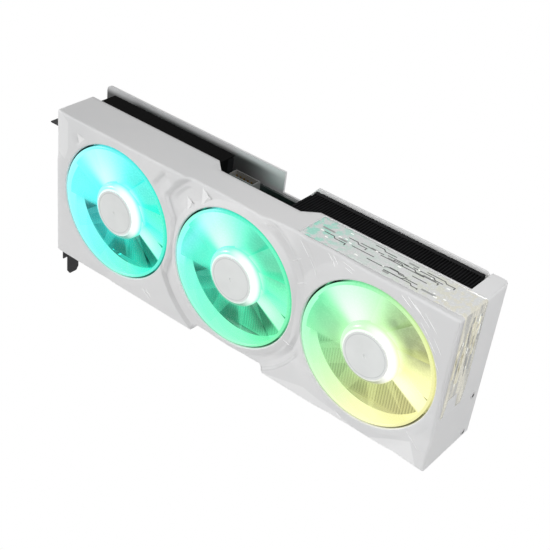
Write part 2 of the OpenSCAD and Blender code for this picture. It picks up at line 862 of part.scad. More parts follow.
// Heat pipes grown by g, for the pipes and their grooves
module pipe_bars(g) {
    for (z = pipe_z) translate([pipe_x0, pipe_y, z]) rotate([0, 90, 0])
        cylinder(r = pipe_r + g, h = pipe_x1 - pipe_x0);
}

module heat_pipes() {
    tip_r = pipe_r - 1;
    tip_len = 1.5;
    color("peru") cooler_frame() {
        pipe_bars(0);
        for (z = pipe_z) {
            translate([pipe_x0 - tip_len, pipe_y, z]) rotate([0, 90, 0])
                cylinder(r1 = tip_r, r2 = pipe_r, h = tip_len);
            translate([pipe_x1, pipe_y, z]) rotate([0, 90, 0])
                cylinder(r1 = pipe_r, r2 = tip_r, h = tip_len);
        }
    }
}

module cold_plate() {
    color("chocolate") cooler_frame() difference() {
        block([processor_x - cold_w / 2, pipe_y + pipe_clear, processor_z - cold_h / 2],
            [processor_x + cold_w / 2, die_y0, processor_z + cold_h / 2]);
        pipe_bars(pipe_gap);
    }
}

module cooling_plate() {
    plate_x0 = 38;
    plate_x1 = 126;
    plate_z0 = 2;
    plate_z1 = 82;
    window = 0.5;
    post_wall = 1.6;
    color("darkgray") cooler_frame() difference() {
        union() {
            block([plate_x0, plate_y0, plate_z0], [plate_x1, plate_y1, plate_z1]);
            for (p = post_at) peg(p[0], p[1], clamp_screw_r + post_wall, plate_y1 - over / 2, cooler_d);
        }
        block([processor_x - cold_w / 2 - window, plate_y0 - over, processor_z - cold_h / 2 - window],
            [processor_x + cold_w / 2 + window, plate_y1 + over, processor_z + cold_h / 2 + window]);
        for (p = post_at) peg(p[0], p[1], clamp_screw_r + fit_gap, plate_y0 - over, cooler_d + over);
    }
}

// Height of the fins along the card
function fin_top_at(x) =
    x < fin_left_x1 ? fin_top :
    x < fin_low_x1 ? fin_low_z :
    x < fin_ramp_x0 ? fin_step_z :
    x < board_x1 ? fin_step_z + (fin_top - fin_step_z) * (x - fin_ramp_x0) / (board_x1 - fin_ramp_x0) :
    fin_top;

// Outline of the fin at x, in y and z
function fin_outline(x) =
    let (top = fin_top_at(x), low = fin_band_top, rear = x < fin_tail_x0 ? pipe_y : fin_tail_y1,
        step = band_depth(x) + side_gap, shelf = x < fin_tail_x0 && top > fin_shelf_z + over)
    concat(
        [[fin_y0, fin_z0], [rear, fin_z0]],
        shelf ? [[rear, fin_shelf_z], [fin_shelf_y1, fin_shelf_z], [fin_shelf_y1, top]] : [[rear, top]],
        top > low ? [[step, top], [step, low], [fin_y0, low]] : [[fin_y0, top]]
    );

// Fin stack between x0 and x1, held together by folded strips along two edges
module fin_stack(x0, x1, strip_y) {
    n = floor((x1 - x0 - fin_t) / fin_pitch);
    end = x0 + n * fin_pitch + fin_t;
    strip_w = 3;
    rear_w = 0.6 * (pipe_pitch - 2 * pipe_r);
    for (i = [0:n]) along_x(x0 + i * fin_pitch, x0 + i * fin_pitch + fin_t) difference() {
        polygon(fin_outline(x0 + i * fin_pitch));
        for (z = pipe_z) translate([pipe_y, z]) circle(pipe_r + pipe_gap);
    }
    block([x0, fin_y0 + strip_w, fin_z0], [end, fin_y0 + 2 * strip_w, fin_z0 + fin_t]);
    block([x0, strip_y - fin_t, processor_z + (pipe_pitch - rear_w) / 2],
        [end, strip_y, processor_z + (pipe_pitch + rear_w) / 2]);
}

module fins_left() {
    color([0.08, 0.08, 0.09]) cooler_frame() fin_stack(fin_x0, fin_left_x1, pipe_y);
}

module fins_middle() {
    color([0.08, 0.08, 0.09]) cooler_frame() fin_stack(fin_middle_x0, board_x1, pipe_y);
}

module fins_right() {
    color([0.08, 0.08, 0.09]) cooler_frame() fin_stack(fin_tail_x0, fin_tail_x1, fin_tail_y1);
}

// Folded cover over the fins at the bracket end
module fin_cover() {
    y0 = band_left + side_gap;
    end_lap = 2;
    flap_gap = 0.3;
    x0 = fin_x0 - end_lap;
    x1 = fin_left_x1 + flap_gap + cover_t;
    flap_z = fin_low_z + 4;
    color([0.07, 0.07, 0.07]) cooler_frame() {
        block([x0, y0, fin_top], [x1, fin_shelf_y1, fin_top + cover_t]);
        block([x1 - cover_t, y0, flap_z], [x1, power_y0 - flap_gap, fin_top + cover_t]);
    }
}

module bottom_rail() {
    color("darkgray") cooler_frame() difference() {
        block([rail_x[0], rail_y[0], fin_z0 - rail_t], [rail_x[1], rail_y[1], fin_z0]);
        for (x = rail_screw_x) translate([x, rail_screw_y, fin_z0 - rail_t - over])
            cylinder(r = clamp_screw_r + fit_gap, h = rail_t + 2 * over);
    }
}

module shroud_screws() {
    color("dimgray") cooler_frame() for (x = rail_screw_x) translate([x, rail_screw_y, rail_head_z]) {
        difference() {
            cylinder(r = rail_head_r, h = rail_head_h);
            translate([0, 0, rail_head_h / 2]) mirror([0, 0, 1]) cross_slot(rail_head_r, rail_head_h);
        }
        translate([0, 0, rail_head_h]) cylinder(r = clamp_screw_r, h = fin_z0 - shroud_wall - hole_gap);
    }
}

module retention_spring() {
    arm_w = 9;
    eye_r = 5;
    window_r = 14;
    hub_ring_r = 20;
    color("silver") cooler_frame() along_y(board_y1, board_y1 + spring_t) difference() {
        union() {
            for (p = post_at) translate(p) circle(eye_r);
            for (a = [45, 135]) translate([processor_x, processor_z]) rotate(a)
                square([post_span * sqrt(2), arm_w], center = true);
            translate([processor_x, processor_z]) circle(hub_ring_r);
        }
        translate([processor_x, processor_z]) circle(window_r);
        for (p = post_at) translate(p) circle(clamp_screw_r + hole_gap);
    }
}

module retention_screws() {
    head_r = 2.8;
    head_h = 1.3;
    color("silver") cooler_frame() for (p = post_at)
        back_screw(p[0], p[1], board_y1 + spring_t, plate_y0 + hole_gap, clamp_screw_r, head_r, head_h);
}

// Standoffs behind the board, each with a spigot through it
module standoffs() {
    color("silver") cooler_frame() difference() {
        for (p = standoff_at) {
            peg(p[0], p[1], standoff_r, board_y1, backplate_y0);
            peg(p[0], p[1], clamp_screw_r, cooler_d, standoff_bore_y);
        }
        for (p = standoff_at) peg(p[0], p[1], standoff_bore_r, standoff_bore_y, backplate_y0 + over);
    }
}

module backplate_screws() {
    color([0.2, 0.2, 0.2]) cooler_frame() {
        for (p = standoff_at)
            back_screw(p[0], p[1], card_d, standoff_bore_y + hole_gap, standoff_bore_r - fit_gap,
                plate_head_r, plate_head_h);
        for (z = tail_screw_z)
            back_screw(tail_screw_x, z, card_d, backplate_y0 - tail_t, plate_screw_r,
                plate_head_r, plate_head_h);
    }
}

module bracket_screws() {
    color("dimgray") cooler_frame() for (z = bracket_tab_z)
        translate([bracket_hole_x, cooler_d, z + bracket_tab_w / 2]) rotate([-90, 0, 0]) {
            cylinder(r = clamp_screw_r, h = board_t + bracket_t);
            difference() {
                translate([0, 0, -rail_head_h]) cylinder(r = rail_head_r, h = rail_head_h);
                translate([0, 0, -rail_head_h / 2]) mirror([0, 0, 1]) cross_slot(rail_head_r, rail_head_h);
            }
        }
}

// Angle that ties the end cap to the backplate
module tail_bracket() {
    color("darkgray") cooler_frame() difference() {
        union() {
            block([inner_end - tail_t, tail_y0, tail_z[0]], [inner_end, backplate_y0, tail_z[1]]);
            block([inner_end - tail_foot, backplate_y0 - tail_t, tail_z[0]],
                [inner_end, backplate_y0, tail_z[1]]);
        }
        for (z = end_screw_z) translate([inner_end - tail_t - over, end_screw_y, z]) rotate([0, 90, 0])
            cylinder(r = clamp_screw_r + fit_gap, h = tail_t + 2 * over);
        for (z = tail_screw_z)
            peg(tail_screw_x, z, plate_screw_r + fit_gap, backplate_y0 - tail_t - over, backplate_y0 + over);
    }
}

module end_screws() {
    head_r = 2;
    head_h = 0.6;
    color([0.1, 0.1, 0.1]) cooler_frame() for (z = end_screw_z)
        translate([shroud_len, end_screw_y, z]) rotate([0, 90, 0]) {
            difference() {
                cylinder(r = head_r, h = head_h);
                translate([0, 0, head_h / 2]) cross_slot(head_r, head_h);
            }
            translate([0, 0, -shroud_wall - tail_t]) cylinder(r = clamp_screw_r, h = shroud_wall + tail_t);
        }
}

module fan_screws() {
    color("dimgray") cooler_frame() for (i = [0:2], dx = [-1, 1], dz = [-1, 1])
        back_screw(fan_x[i] + dx * ear_off, fan_z + dz * ear_off, frame_y1, fan_screw_y0,
            fan_screw_r, fan_head_r, fan_head_h);
}

// Frame that carries a fan's motor on three struts
module fan_frame(i) {
    rim_r = hole_r + collar_t;
    strut_end = (hole_r + rim_r) / 2;
    color("whitesmoke") cooler_frame() at_fan(i) difference() {
        union() {
            translate([0, 0, collar_d]) {
                difference() {
                    union() {
                        cylinder(r = rim_r, h = frame_t);
                        for (a = [45:90:315]) rotate([0, 0, a]) translate([0, -ear_r, 0])
                            cube([ear_off * sqrt(2), 2 * ear_r, frame_t]);
                    }
                    translate([0, 0, -over]) cylinder(r = hole_r + hole_gap, h = frame_t + 2 * over);
                }
                for (dx = [-1, 1], dy = [-1, 1]) translate([dx * ear_off, dy * ear_off, 0])
                    cylinder(r = ear_r, h = frame_t);
                for (a = strut_angles) rotate([0, 0, -a]) translate([0, -strut_w / 2, 0])
                    cube([strut_end, strut_w, frame_t]);
                cylinder(r = frame_disc_r, h = frame_t);
            }
            translate([0, 0, post_y0]) cylinder(r = post_r, h = collar_d - post_y0 + over);
        }
        translate([0, 0, post_y0 - over]) cylinder(r = bearing_r + fit_gap, h = collar_d - post_y0 + over);
        for (dx = [-1, 1], dy = [-1, 1]) translate([dx * ear_off, dy * ear_off, collar_d - over])
            cylinder(r = fan_screw_r + hole_gap, h = frame_t + 2 * over);
    }
}

module fan_left_frame() fan_frame(0);
module fan_middle_frame() fan_frame(1);
module fan_right_frame() fan_frame(2);

module fan_bearings() {
    color("goldenrod") cooler_frame() for (i = [0:2]) at_fan(i) translate([0, 0, post_y0 + bearing_set])
        difference() {
            cylinder(r = bearing_r, h = collar_d - post_y0 - 2 * bearing_set);
            translate([0, 0, -over]) cylinder(r = shaft_r + shaft_clear, h = collar_d);
        }
}

module fan_stators() {
    core_t = 2;
    shoe_t = 1.2;
    shoe_x = pole_r - 1.4;
    color("slategray") cooler_frame() for (i = [0:2]) at_fan(i) translate([0, 0, stator_y0]) difference() {
        union() {
            cylinder(r = post_r + core_t, h = stator_y1 - stator_y0);
            for (k = [0:pole_n - 1]) rotate([0, 0, k * 360 / pole_n]) {
                translate([0, -pole_w / 2, 0]) cube([shoe_x + shoe_t / 2, pole_w, stator_y1 - stator_y0]);
                translate([shoe_x, -pole_w, 0]) cube([shoe_t, 2 * pole_w, stator_y1 - stator_y0]);
            }
        }
        translate([0, 0, -over]) cylinder(r = post_r + fit_gap, h = stator_y1);
    }
}

module fan_coils() {
    coil_x = [post_r + 3, pole_r - 1.6];
    color("chocolate") cooler_frame() for (i = [0:2], k = [0:pole_n - 1])
        at_fan(i) rotate([0, 0, k * 360 / pole_n]) difference() {
            block([coil_x[0], -coil_w / 2, stator_y0 - coil_over],
                [coil_x[1], coil_w / 2, stator_y1 + coil_over]);
            block([coil_x[0] - over, -pole_w / 2 - fit_gap, stator_y0 - fit_gap],
                [coil_x[1] + over, pole_w / 2 + fit_gap, stator_y1 + fit_gap]);
        }
}

// Round circuit boards behind the hubs, each with a ring of lamps
module fan_boards() {
    lamp = 1.6;
    lamp_t = 0.4;
    lamp_n = 12;
    lamp_x = hub_r - 1.2;
    color("seagreen") cooler_frame() for (i = [0:2]) at_fan(i) {
        translate([0, 0, fan_board_y0]) difference() {
            cylinder(r = frame_disc_r - hole_gap, h = fan_board_t);
            translate([0, 0, -over]) cylinder(r = post_r + thread_gap, h = fan_board_t + 2 * over);
        }
        for (k = [0:lamp_n - 1]) rotate([0, 0, k * 360 / lamp_n])
            translate([lamp_x, -lamp / 2, fan_board_y0 - lamp_t]) cube([lamp, lamp, lamp_t]);
    }
}

// One cambered blade: a slice of a tube that lies along the blade
module blade() {
    bury = 0.6;
    z0 = ring_y0 + 1.8;
    z1 = ring_d - 0.6;
    rise = z1 - z0;
    chord = norm([blade_chord, rise]);
    bend_r = (chord * chord / 4 + blade_sag * blade_sag) / (2 * blade_sag);
    centre = [0, (z0 + z1) / 2] + (bend_r - blade_sag) * [-rise, blade_chord] / chord;
    reach = ring_r - ring_t + bury;
    root_r = hub_r - 2;
    intersection() {
        translate([0, centre[0], centre[1]]) rotate([0, 90, 0]) difference() {
            cylinder(r = bend_r + blade_t / 2, h = reach, $fn = 96);
            translate([0, 0, -over]) cylinder(r = bend_r - blade_t / 2, h = reach + 2 * over, $fn = 96);
        }
        block([over, -blade_chord / 2, z0], [reach, blade_chord / 2, z1]);
        difference() {
            translate([0, 0, z0 - over]) cylinder(r = reach, h = rise + 2 * over);
            translate([0, 0, z0 - 2 * over]) cylinder(r = root_r, h = rise + 4 * over);
        }
    }
}

module fan_rotor(i) {
    front = hub_cap_t;
    cup_r = magnet_r + fit_gap;
    wall_y = 3.2;
    boss = 4;
    boss_y = 5.2;
    slant = 1.6;
    cap_edge = 0.3;
    color([0.75, 1, 0.95]) cooler_frame() at_fan(i) {
        rotate_extrude() polygon([
            [shaft_r + fit_gap, front],
            [hub_cap_r + cap_edge, front],
            [hub_r, hub_slope_d],
            [hub_r, hub_d],
            [cup_r, hub_d],
            [cup_r, boss_y],
            [cup_r - slant, wall_y],
            [boss, wall_y],
            [boss, boss_y],
            [shaft_r + fit_gap, boss_y]
        ]);
        rotate_extrude() translate([ring_r - ring_t, ring_y0]) square([ring_t, ring_d - ring_y0]);
        for (k = [0:blade_n - 1]) rotate([0, 0, k * 360 / blade_n]) blade();
    }
}

module fan_left_rotor() fan_rotor(0);
module fan_middle_rotor() fan_rotor(1);
module fan_right_rotor() fan_rotor(2);

module fan_cap(i) {
    dimple_r = 1.2;
    dimple_d = 0.3;
    color("white") cooler_frame() at_fan(i) difference() {
        cylinder(r = hub_cap_r, h = hub_cap_t);
        translate([0, 0, -over]) cylinder(r = dimple_r, h = over + dimple_d);
    }
}

module fan_left_cap() fan_cap(0);
module fan_middle_cap() fan_cap(1);
module fan_right_cap() fan_cap(2);

module fan_magnet(i) {
    color([0.25, 0.22, 0.2]) cooler_frame() at_fan(i) translate([0, 0, magnet_y0]) difference() {
        cylinder(r = magnet_r, h = hub_d - magnet_back - magnet_y0);
        translate([0, 0, -over]) cylinder(r = magnet_r - magnet_t, h = hub_d);
    }
}

module fan_left_magnet() fan_magnet(0);
module fan_middle_magnet() fan_magnet(1);
module fan_right_magnet() fan_magnet(2);

module fan_shaft(i) {
    color("silver") cooler_frame() at_fan(i) translate([0, 0, hub_cap_t])
        cylinder(r = shaft_r, h = collar_d - bearing_set - hub_cap_t);
}

module fan_left_shaft() fan_shaft(0);
module fan_middle_shaft() fan_shaft(1);
module fan_right_shaft() fan_shaft(2);

front_shroud();
corner_panel();
panel_lamps();
backplate();
slot_bracket();
circuit_board();
edge_contacts();
processor_base();
processor_die();
memory_chips();
memory_pads();
power_stages();
chokes();
capacitors();
power_socket();
power_pins();
video_socket_1();
video_socket_2();
video_socket_3();
video_socket_4();
socket_tongues();
fan_headers();
fan_leads();
cold_plate();
cooling_plate();
heat_pipes();
fins_left();
fins_middle();
fins_right();
fin_cover();
bottom_rail();
retention_spring();
retention_screws();
standoffs();
backplate_screws();
bracket_screws();
tail_bracket();
end_screws();
shroud_screws();
fan_screws();
fan_bearings();
fan_stators();
fan_coils();
fan_boards();
fan_left_frame();
fan_middle_frame();
fan_right_frame();
fan_left_rotor();
fan_left_cap();
fan_left_magnet();
fan_left_shaft();
fan_middle_rotor();
fan_middle_cap();
fan_middle_magnet();
fan_middle_shaft();
fan_right_rotor();
fan_right_cap();
fan_right_magnet();
fan_right_shaft();
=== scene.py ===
import math
import bmesh
import bpy
import numpy as np
from mathutils import Matrix, Vector


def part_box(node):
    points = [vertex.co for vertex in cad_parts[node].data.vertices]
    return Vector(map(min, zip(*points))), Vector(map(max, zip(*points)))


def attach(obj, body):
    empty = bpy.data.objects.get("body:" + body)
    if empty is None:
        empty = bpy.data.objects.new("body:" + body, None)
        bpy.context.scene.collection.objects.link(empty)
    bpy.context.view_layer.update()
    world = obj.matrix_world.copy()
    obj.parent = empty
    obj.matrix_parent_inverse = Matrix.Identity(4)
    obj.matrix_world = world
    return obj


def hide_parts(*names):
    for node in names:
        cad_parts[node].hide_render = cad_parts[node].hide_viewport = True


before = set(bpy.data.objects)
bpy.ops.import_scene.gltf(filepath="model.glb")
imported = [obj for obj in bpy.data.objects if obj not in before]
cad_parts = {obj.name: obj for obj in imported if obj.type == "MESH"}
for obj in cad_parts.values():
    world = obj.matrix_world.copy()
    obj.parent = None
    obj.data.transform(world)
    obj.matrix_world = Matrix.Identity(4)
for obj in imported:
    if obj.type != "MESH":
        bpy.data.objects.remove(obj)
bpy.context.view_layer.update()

scene = bpy.context.scene
scene.view_settings.view_transform = "Standard"
mm = 0.001
cooler = np.array(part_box("front_shroud")[0])  # lower front corner of the shroud; mm count from here
fanNames = ("left", "middle", "right")
fanCentres = [(np.mean(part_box(f"fan_{n}_cap"), axis=0) - cooler)[[0, 2]] / mm for n in fanNames]
fanX, fanZ = [float(c[0]) for c in fanCentres], float(fanCentres[0][1])
fanPitch = fanX[1] - fanX[0]
black, white = (0, 0, 0), (1, 1, 1)
print("frame loaded,", len(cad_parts), "nodes")


# camera, light and floor

camera = dict(
    place=(437.25, -478.9, 452.4), right=(0.7709, 0.6279, 0.1072), ahead=(-0.4721, 0.6768, -0.5648),
    lens=72.33, sensor=36, clip=(0.02, 40))
look = Vector(camera["ahead"]).normalized()
across = Vector(camera["right"])
across = (across - look * across.dot(look)).normalized()
camData = bpy.data.cameras.new("camera")
camData.lens, camData.sensor_width = camera["lens"], camera["sensor"]
camData.clip_start, camData.clip_end = camera["clip"]
camObject = bpy.data.objects.new("camera", camData)
turn = Matrix((across, look.cross(across) * -1, look * -1)).transposed()
camObject.matrix_world = Matrix.Translation(Vector(camera["place"]) * mm) @ turn.to_4x4()
scene.collection.objects.link(camObject)
scene.camera = camObject

shortNames = dict(
    Base="Base Color", Coat="Coat Weight", CoatRough="Coat Roughness", Glow="Emission Color",
    GlowStrength="Emission Strength", Specular="Specular IOR Level")


def mathMethod(operation, swapped=False):
    # a method that joins two values by a Math node, the other way round in a reflected form
    def method(self, other):
        return self.math(operation, *((other, self) if swapped else (self, other)))
    return method


class Sock:
    # a shader socket that takes part in plain expressions
    __add__, __radd__ = mathMethod("ADD"), mathMethod("ADD", True)
    __sub__, __rsub__ = mathMethod("SUBTRACT"), mathMethod("SUBTRACT", True)
    __mul__, __rmul__ = mathMethod("MULTIPLY"), mathMethod("MULTIPLY", True)
    __truediv__, __rtruediv__ = mathMethod("DIVIDE"), mathMethod("DIVIDE", True)
    least, most = mathMethod("MINIMUM"), mathMethod("MAXIMUM")

    def __init__(self, tree, link=None):
        self.tree, self.link = tree, link

    def make(self, kind, inputs=None, out=0, stops=(), **settings):
        # a new node: its settings and a ramp's stops first, then the values or links of its sockets
        node = self.tree.nodes.new(kind)
        for key, value in settings.items():
            setattr(node, key, value)
        if stops:
            ramp = node.color_ramp.elements
            while len(ramp) < len(stops):
                ramp.new(1)
            for stop, (place, colour) in zip(ramp, stops):
                stop.position, stop.color = place, (*colour, 1)
        for key, value in (inputs or {}).items():
            self.plug(node.inputs[key], value)
        return Sock(self.tree, node.outputs[out])

    def plug(self, socket, value):
        # links a socket or sets its value, and gives a colour its alpha
        if isinstance(value, Sock):
            self.tree.links.new(value.link, socket)
        else:
            socket.default_value = (*value, 1) if socket.type == "RGBA" else value

    def paint(self, **values):
        # fills the sockets of the material's shader, by short names
        shader = self.tree.nodes["Principled BSDF"]
        for key, value in values.items():
            self.plug(shader.inputs[shortNames.get(key, key)], value)

    def math(self, operation, *values):
        return self.make("ShaderNodeMath", dict(enumerate(values)), operation=operation)

    def __abs__(self):
        return self.math("ABSOLUTE", self)

    def hypot(self, other):
        return self.math("SQRT", self * self + other * other)

    def wrapped(self, centre, pitch):
        # distance from the nearest of many centres that are a pitch apart
        return self.math("WRAP", self - centre, pitch / 2, -pitch / 2)

    def towards(self, degrees):
        # cosine of the angle between this bearing, in radians, and a fixed one
        return self.math("COSINE", self - math.radians(degrees))

    def step(self, start, end, low=0, high=1):
        inputs = {"Value": self, "From Min": start, "From Max": end, "To Min": low, "To Max": high}
        return self.make("ShaderNodeMapRange", inputs, interpolation_type="SMOOTHSTEP")

    def between(self, rise, fall):
        # 1 after the rise and before the fall, each a start and an end
        return self.step(*rise) * self.step(*fall)

    def mix(self, first, second):
        # colour that goes from first to second as this value goes from 0 to 1
        return self.make("ShaderNodeMix", {0: self, 6: first, 7: second}, out=2, data_type="RGBA")

    def graded(self, low, high):
        # noise, which mostly stays between these steps, spread over two values or two colours
        if isinstance(low, tuple):
            return self.step(0.3, 0.7).mix(low, high)
        return self.step(0.3, 0.7, low, high)

    def noise(self, scale, detail=2):
        return self.make("ShaderNodeTexNoise", {"Vector": self, "Scale": scale, "Detail": detail})

    def stretched(self, scale):
        return self.make("ShaderNodeMapping", {"Vector": self, "Scale": scale})

    def bump(self, height, strength):
        return self.make("ShaderNodeBump", {"Height": self, "Distance": height * mm, "Strength": strength})

    def place(self):
        return self.make("ShaderNodeTexCoord", out=3)

    def inMm(self):
        # x, y and z of Object coordinates, in mm from the shroud's lower front corner
        split = self.make("ShaderNodeSeparateXYZ", {"Vector": self}).link.node.outputs
        return [(Sock(self.tree, socket) - float(corner)) / mm for socket, corner in zip(split, cooler)]


def newMaterial(name):
    # a material and its Object coordinates
    material = bpy.data.materials.new(name)
    material.use_nodes = True
    return material, Sock(material.node_tree).place()


def seenDirectly(sock):
    # 1 for rays from the camera, mirrors and glass, 0 for the rays that light the object
    rays = sock.make("ShaderNodeLightPath").link.node.outputs
    seen = [Sock(sock.tree, rays[n]) for n in ("Is Camera Ray", "Is Glossy Ray", "Is Transmission Ray")]
    return seen[0].most(seen[1]).most(seen[2])


studio = dict(ambient=0.27, floorZ=-0.26, floorSize=6, aim=(0.09, -0.02, 0.05), lamps=dict(
    # place, size and power
    keyLamp=((-1.9, -1.15, 0.55), 0.7, 24),
    fillLamp=((0.4, -0.2, 0.5), 0.4, 1.35),
    lowLamp=((0.35, -0.6, 0), 0.4, 0.5),
    sideLamp=((1.3, 0.05, 0.1), 0.5, 1.5),
    backLamp=((0, 1.5, 0.05), 0.6, 8.5)))

world = bpy.data.worlds.new("studio")
scene.world = world
world.use_nodes = True
air = Sock(world.node_tree)
background = world.node_tree.nodes["Background"].inputs
air.plug(background["Color"], white)
air.plug(background["Strength"], seenDirectly(air) * (1 - studio["ambient"]) + studio["ambient"])

half, level = studio["floorSize"] / 2, studio["floorZ"]
floorMesh = bpy.data.meshes.new("floor")
floorMesh.from_pydata([(x * half, y * half, level) for x, y in ((-1, -1), (1, -1), (1, 1), (-1, 1))], [],
                      [(0, 1, 2, 3)])
floor = bpy.data.objects.new("floor", floorMesh)
scene.collection.objects.link(floor)
floorMaterial, at = newMaterial("paleFloor")
at.paint(Base=at.noise(3).mix((0.88, 0.88, 0.88), (0.9, 0.9, 0.9)), Roughness=0.9, Specular=0)
glow = at.make("ShaderNodeEmission", {"Color": white, "Strength": 1.0})
paper = Sock(at.tree, at.tree.nodes["Principled BSDF"].outputs[0])
surface = at.make("ShaderNodeMixShader", {0: seenDirectly(at), 1: paper, 2: glow})
at.plug(at.tree.nodes["Material Output"].inputs["Surface"], surface)
floorMesh.materials.append(floorMaterial)

for name, (place, size, power) in studio["lamps"].items():
    lamp = bpy.data.lights.new(name, "AREA")
    lamp.size, lamp.energy, lamp.shape = size, power, "DISK"
    lampObject = bpy.data.objects.new(name, lamp)
    aim = (Vector(studio["aim"]) - Vector(place)).to_track_quat("-Z", "Y")
    lampObject.matrix_world = Matrix.Translation(Vector(place)) @ aim.to_matrix().to_4x4()
    scene.collection.objects.link(lampObject)
print("studio ready")


# meshes and pieces

def gridQuads(rows, cols, wrapRows=False, wrapCols=False):
    # quads of a rows by cols grid of points, joined end to end where wrapped
    r = np.arange(rows if wrapRows else rows - 1)[:, None]
    c = np.arange(cols if wrapCols else cols - 1)[None, :]
    r2, c2 = (r + 1) % rows, (c + 1) % cols
    corners = np.broadcast_arrays(r2 * cols + c, r2 * cols + c2, r * cols + c2, r * cols + c)
    return np.stack(corners, -1).reshape(-1, 4)


def grid(x, y, z):
    # points from coordinates that spread over each other
    return np.stack(np.broadcast_arrays(x, y, z), -1)


def sheet(points, **wraps):
    # the points of a grid as a list, and its quads
    return points.reshape(-1, 3), gridQuads(*points.shape[:2], **wraps)


def joinSheets(name, sheets, weld=0.004, sharp=50):
    # one mesh from sheets of (points in mm from the shroud's corner, quads), with welded seams
    starts = np.cumsum([0] + [len(p) for p, q in sheets[:-1]])
    points = np.concatenate([p for p, q in sheets]) * mm + cooler
    quads = np.concatenate([q + s for (p, q), s in zip(sheets, starts)])
    mesh = bpy.data.meshes.new(name)
    mesh.from_pydata(points.tolist(), [], quads.tolist())
    work = bmesh.new()
    work.from_mesh(mesh)
    bmesh.ops.remove_doubles(work, verts=work.verts, dist=weld * mm)
    bmesh.ops.delete(work, geom=[v for v in work.verts if not v.link_faces], context="VERTS")
    work.to_mesh(mesh)
    work.free()
    mesh.shade_smooth()
    mesh.set_sharp_from_angle(angle=math.radians(sharp))
    return mesh


def addPiece(name, mesh, material, body="card", stands=(), wall=0):
    # a piece that rides on a body and may stand in for CAD nodes; a wall thickens its skin inwards
    piece = bpy.data.objects.new(name, mesh)
    scene.collection.objects.link(piece)
    mesh.materials.append(material)
    if wall:
        skin = piece.modifiers.new("wall", "SOLIDIFY")
        skin.thickness, skin.offset = wall * mm, -1
        flats = piece.modifiers.new("flats", "WEIGHTED_NORMAL")
        flats.keep_sharp = True
    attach(piece, body)
    if stands:
        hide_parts(*stands)


def dress(node, material):
    # gives a CAD node a material of its own
    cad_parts[node].data.materials.clear()
    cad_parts[node].data.materials.append(material)


# finishes of the plain pieces: nodes, two tones of a colour, fineness of the grain that is felt as bump, and
# what differs from the defaults of plainFinish

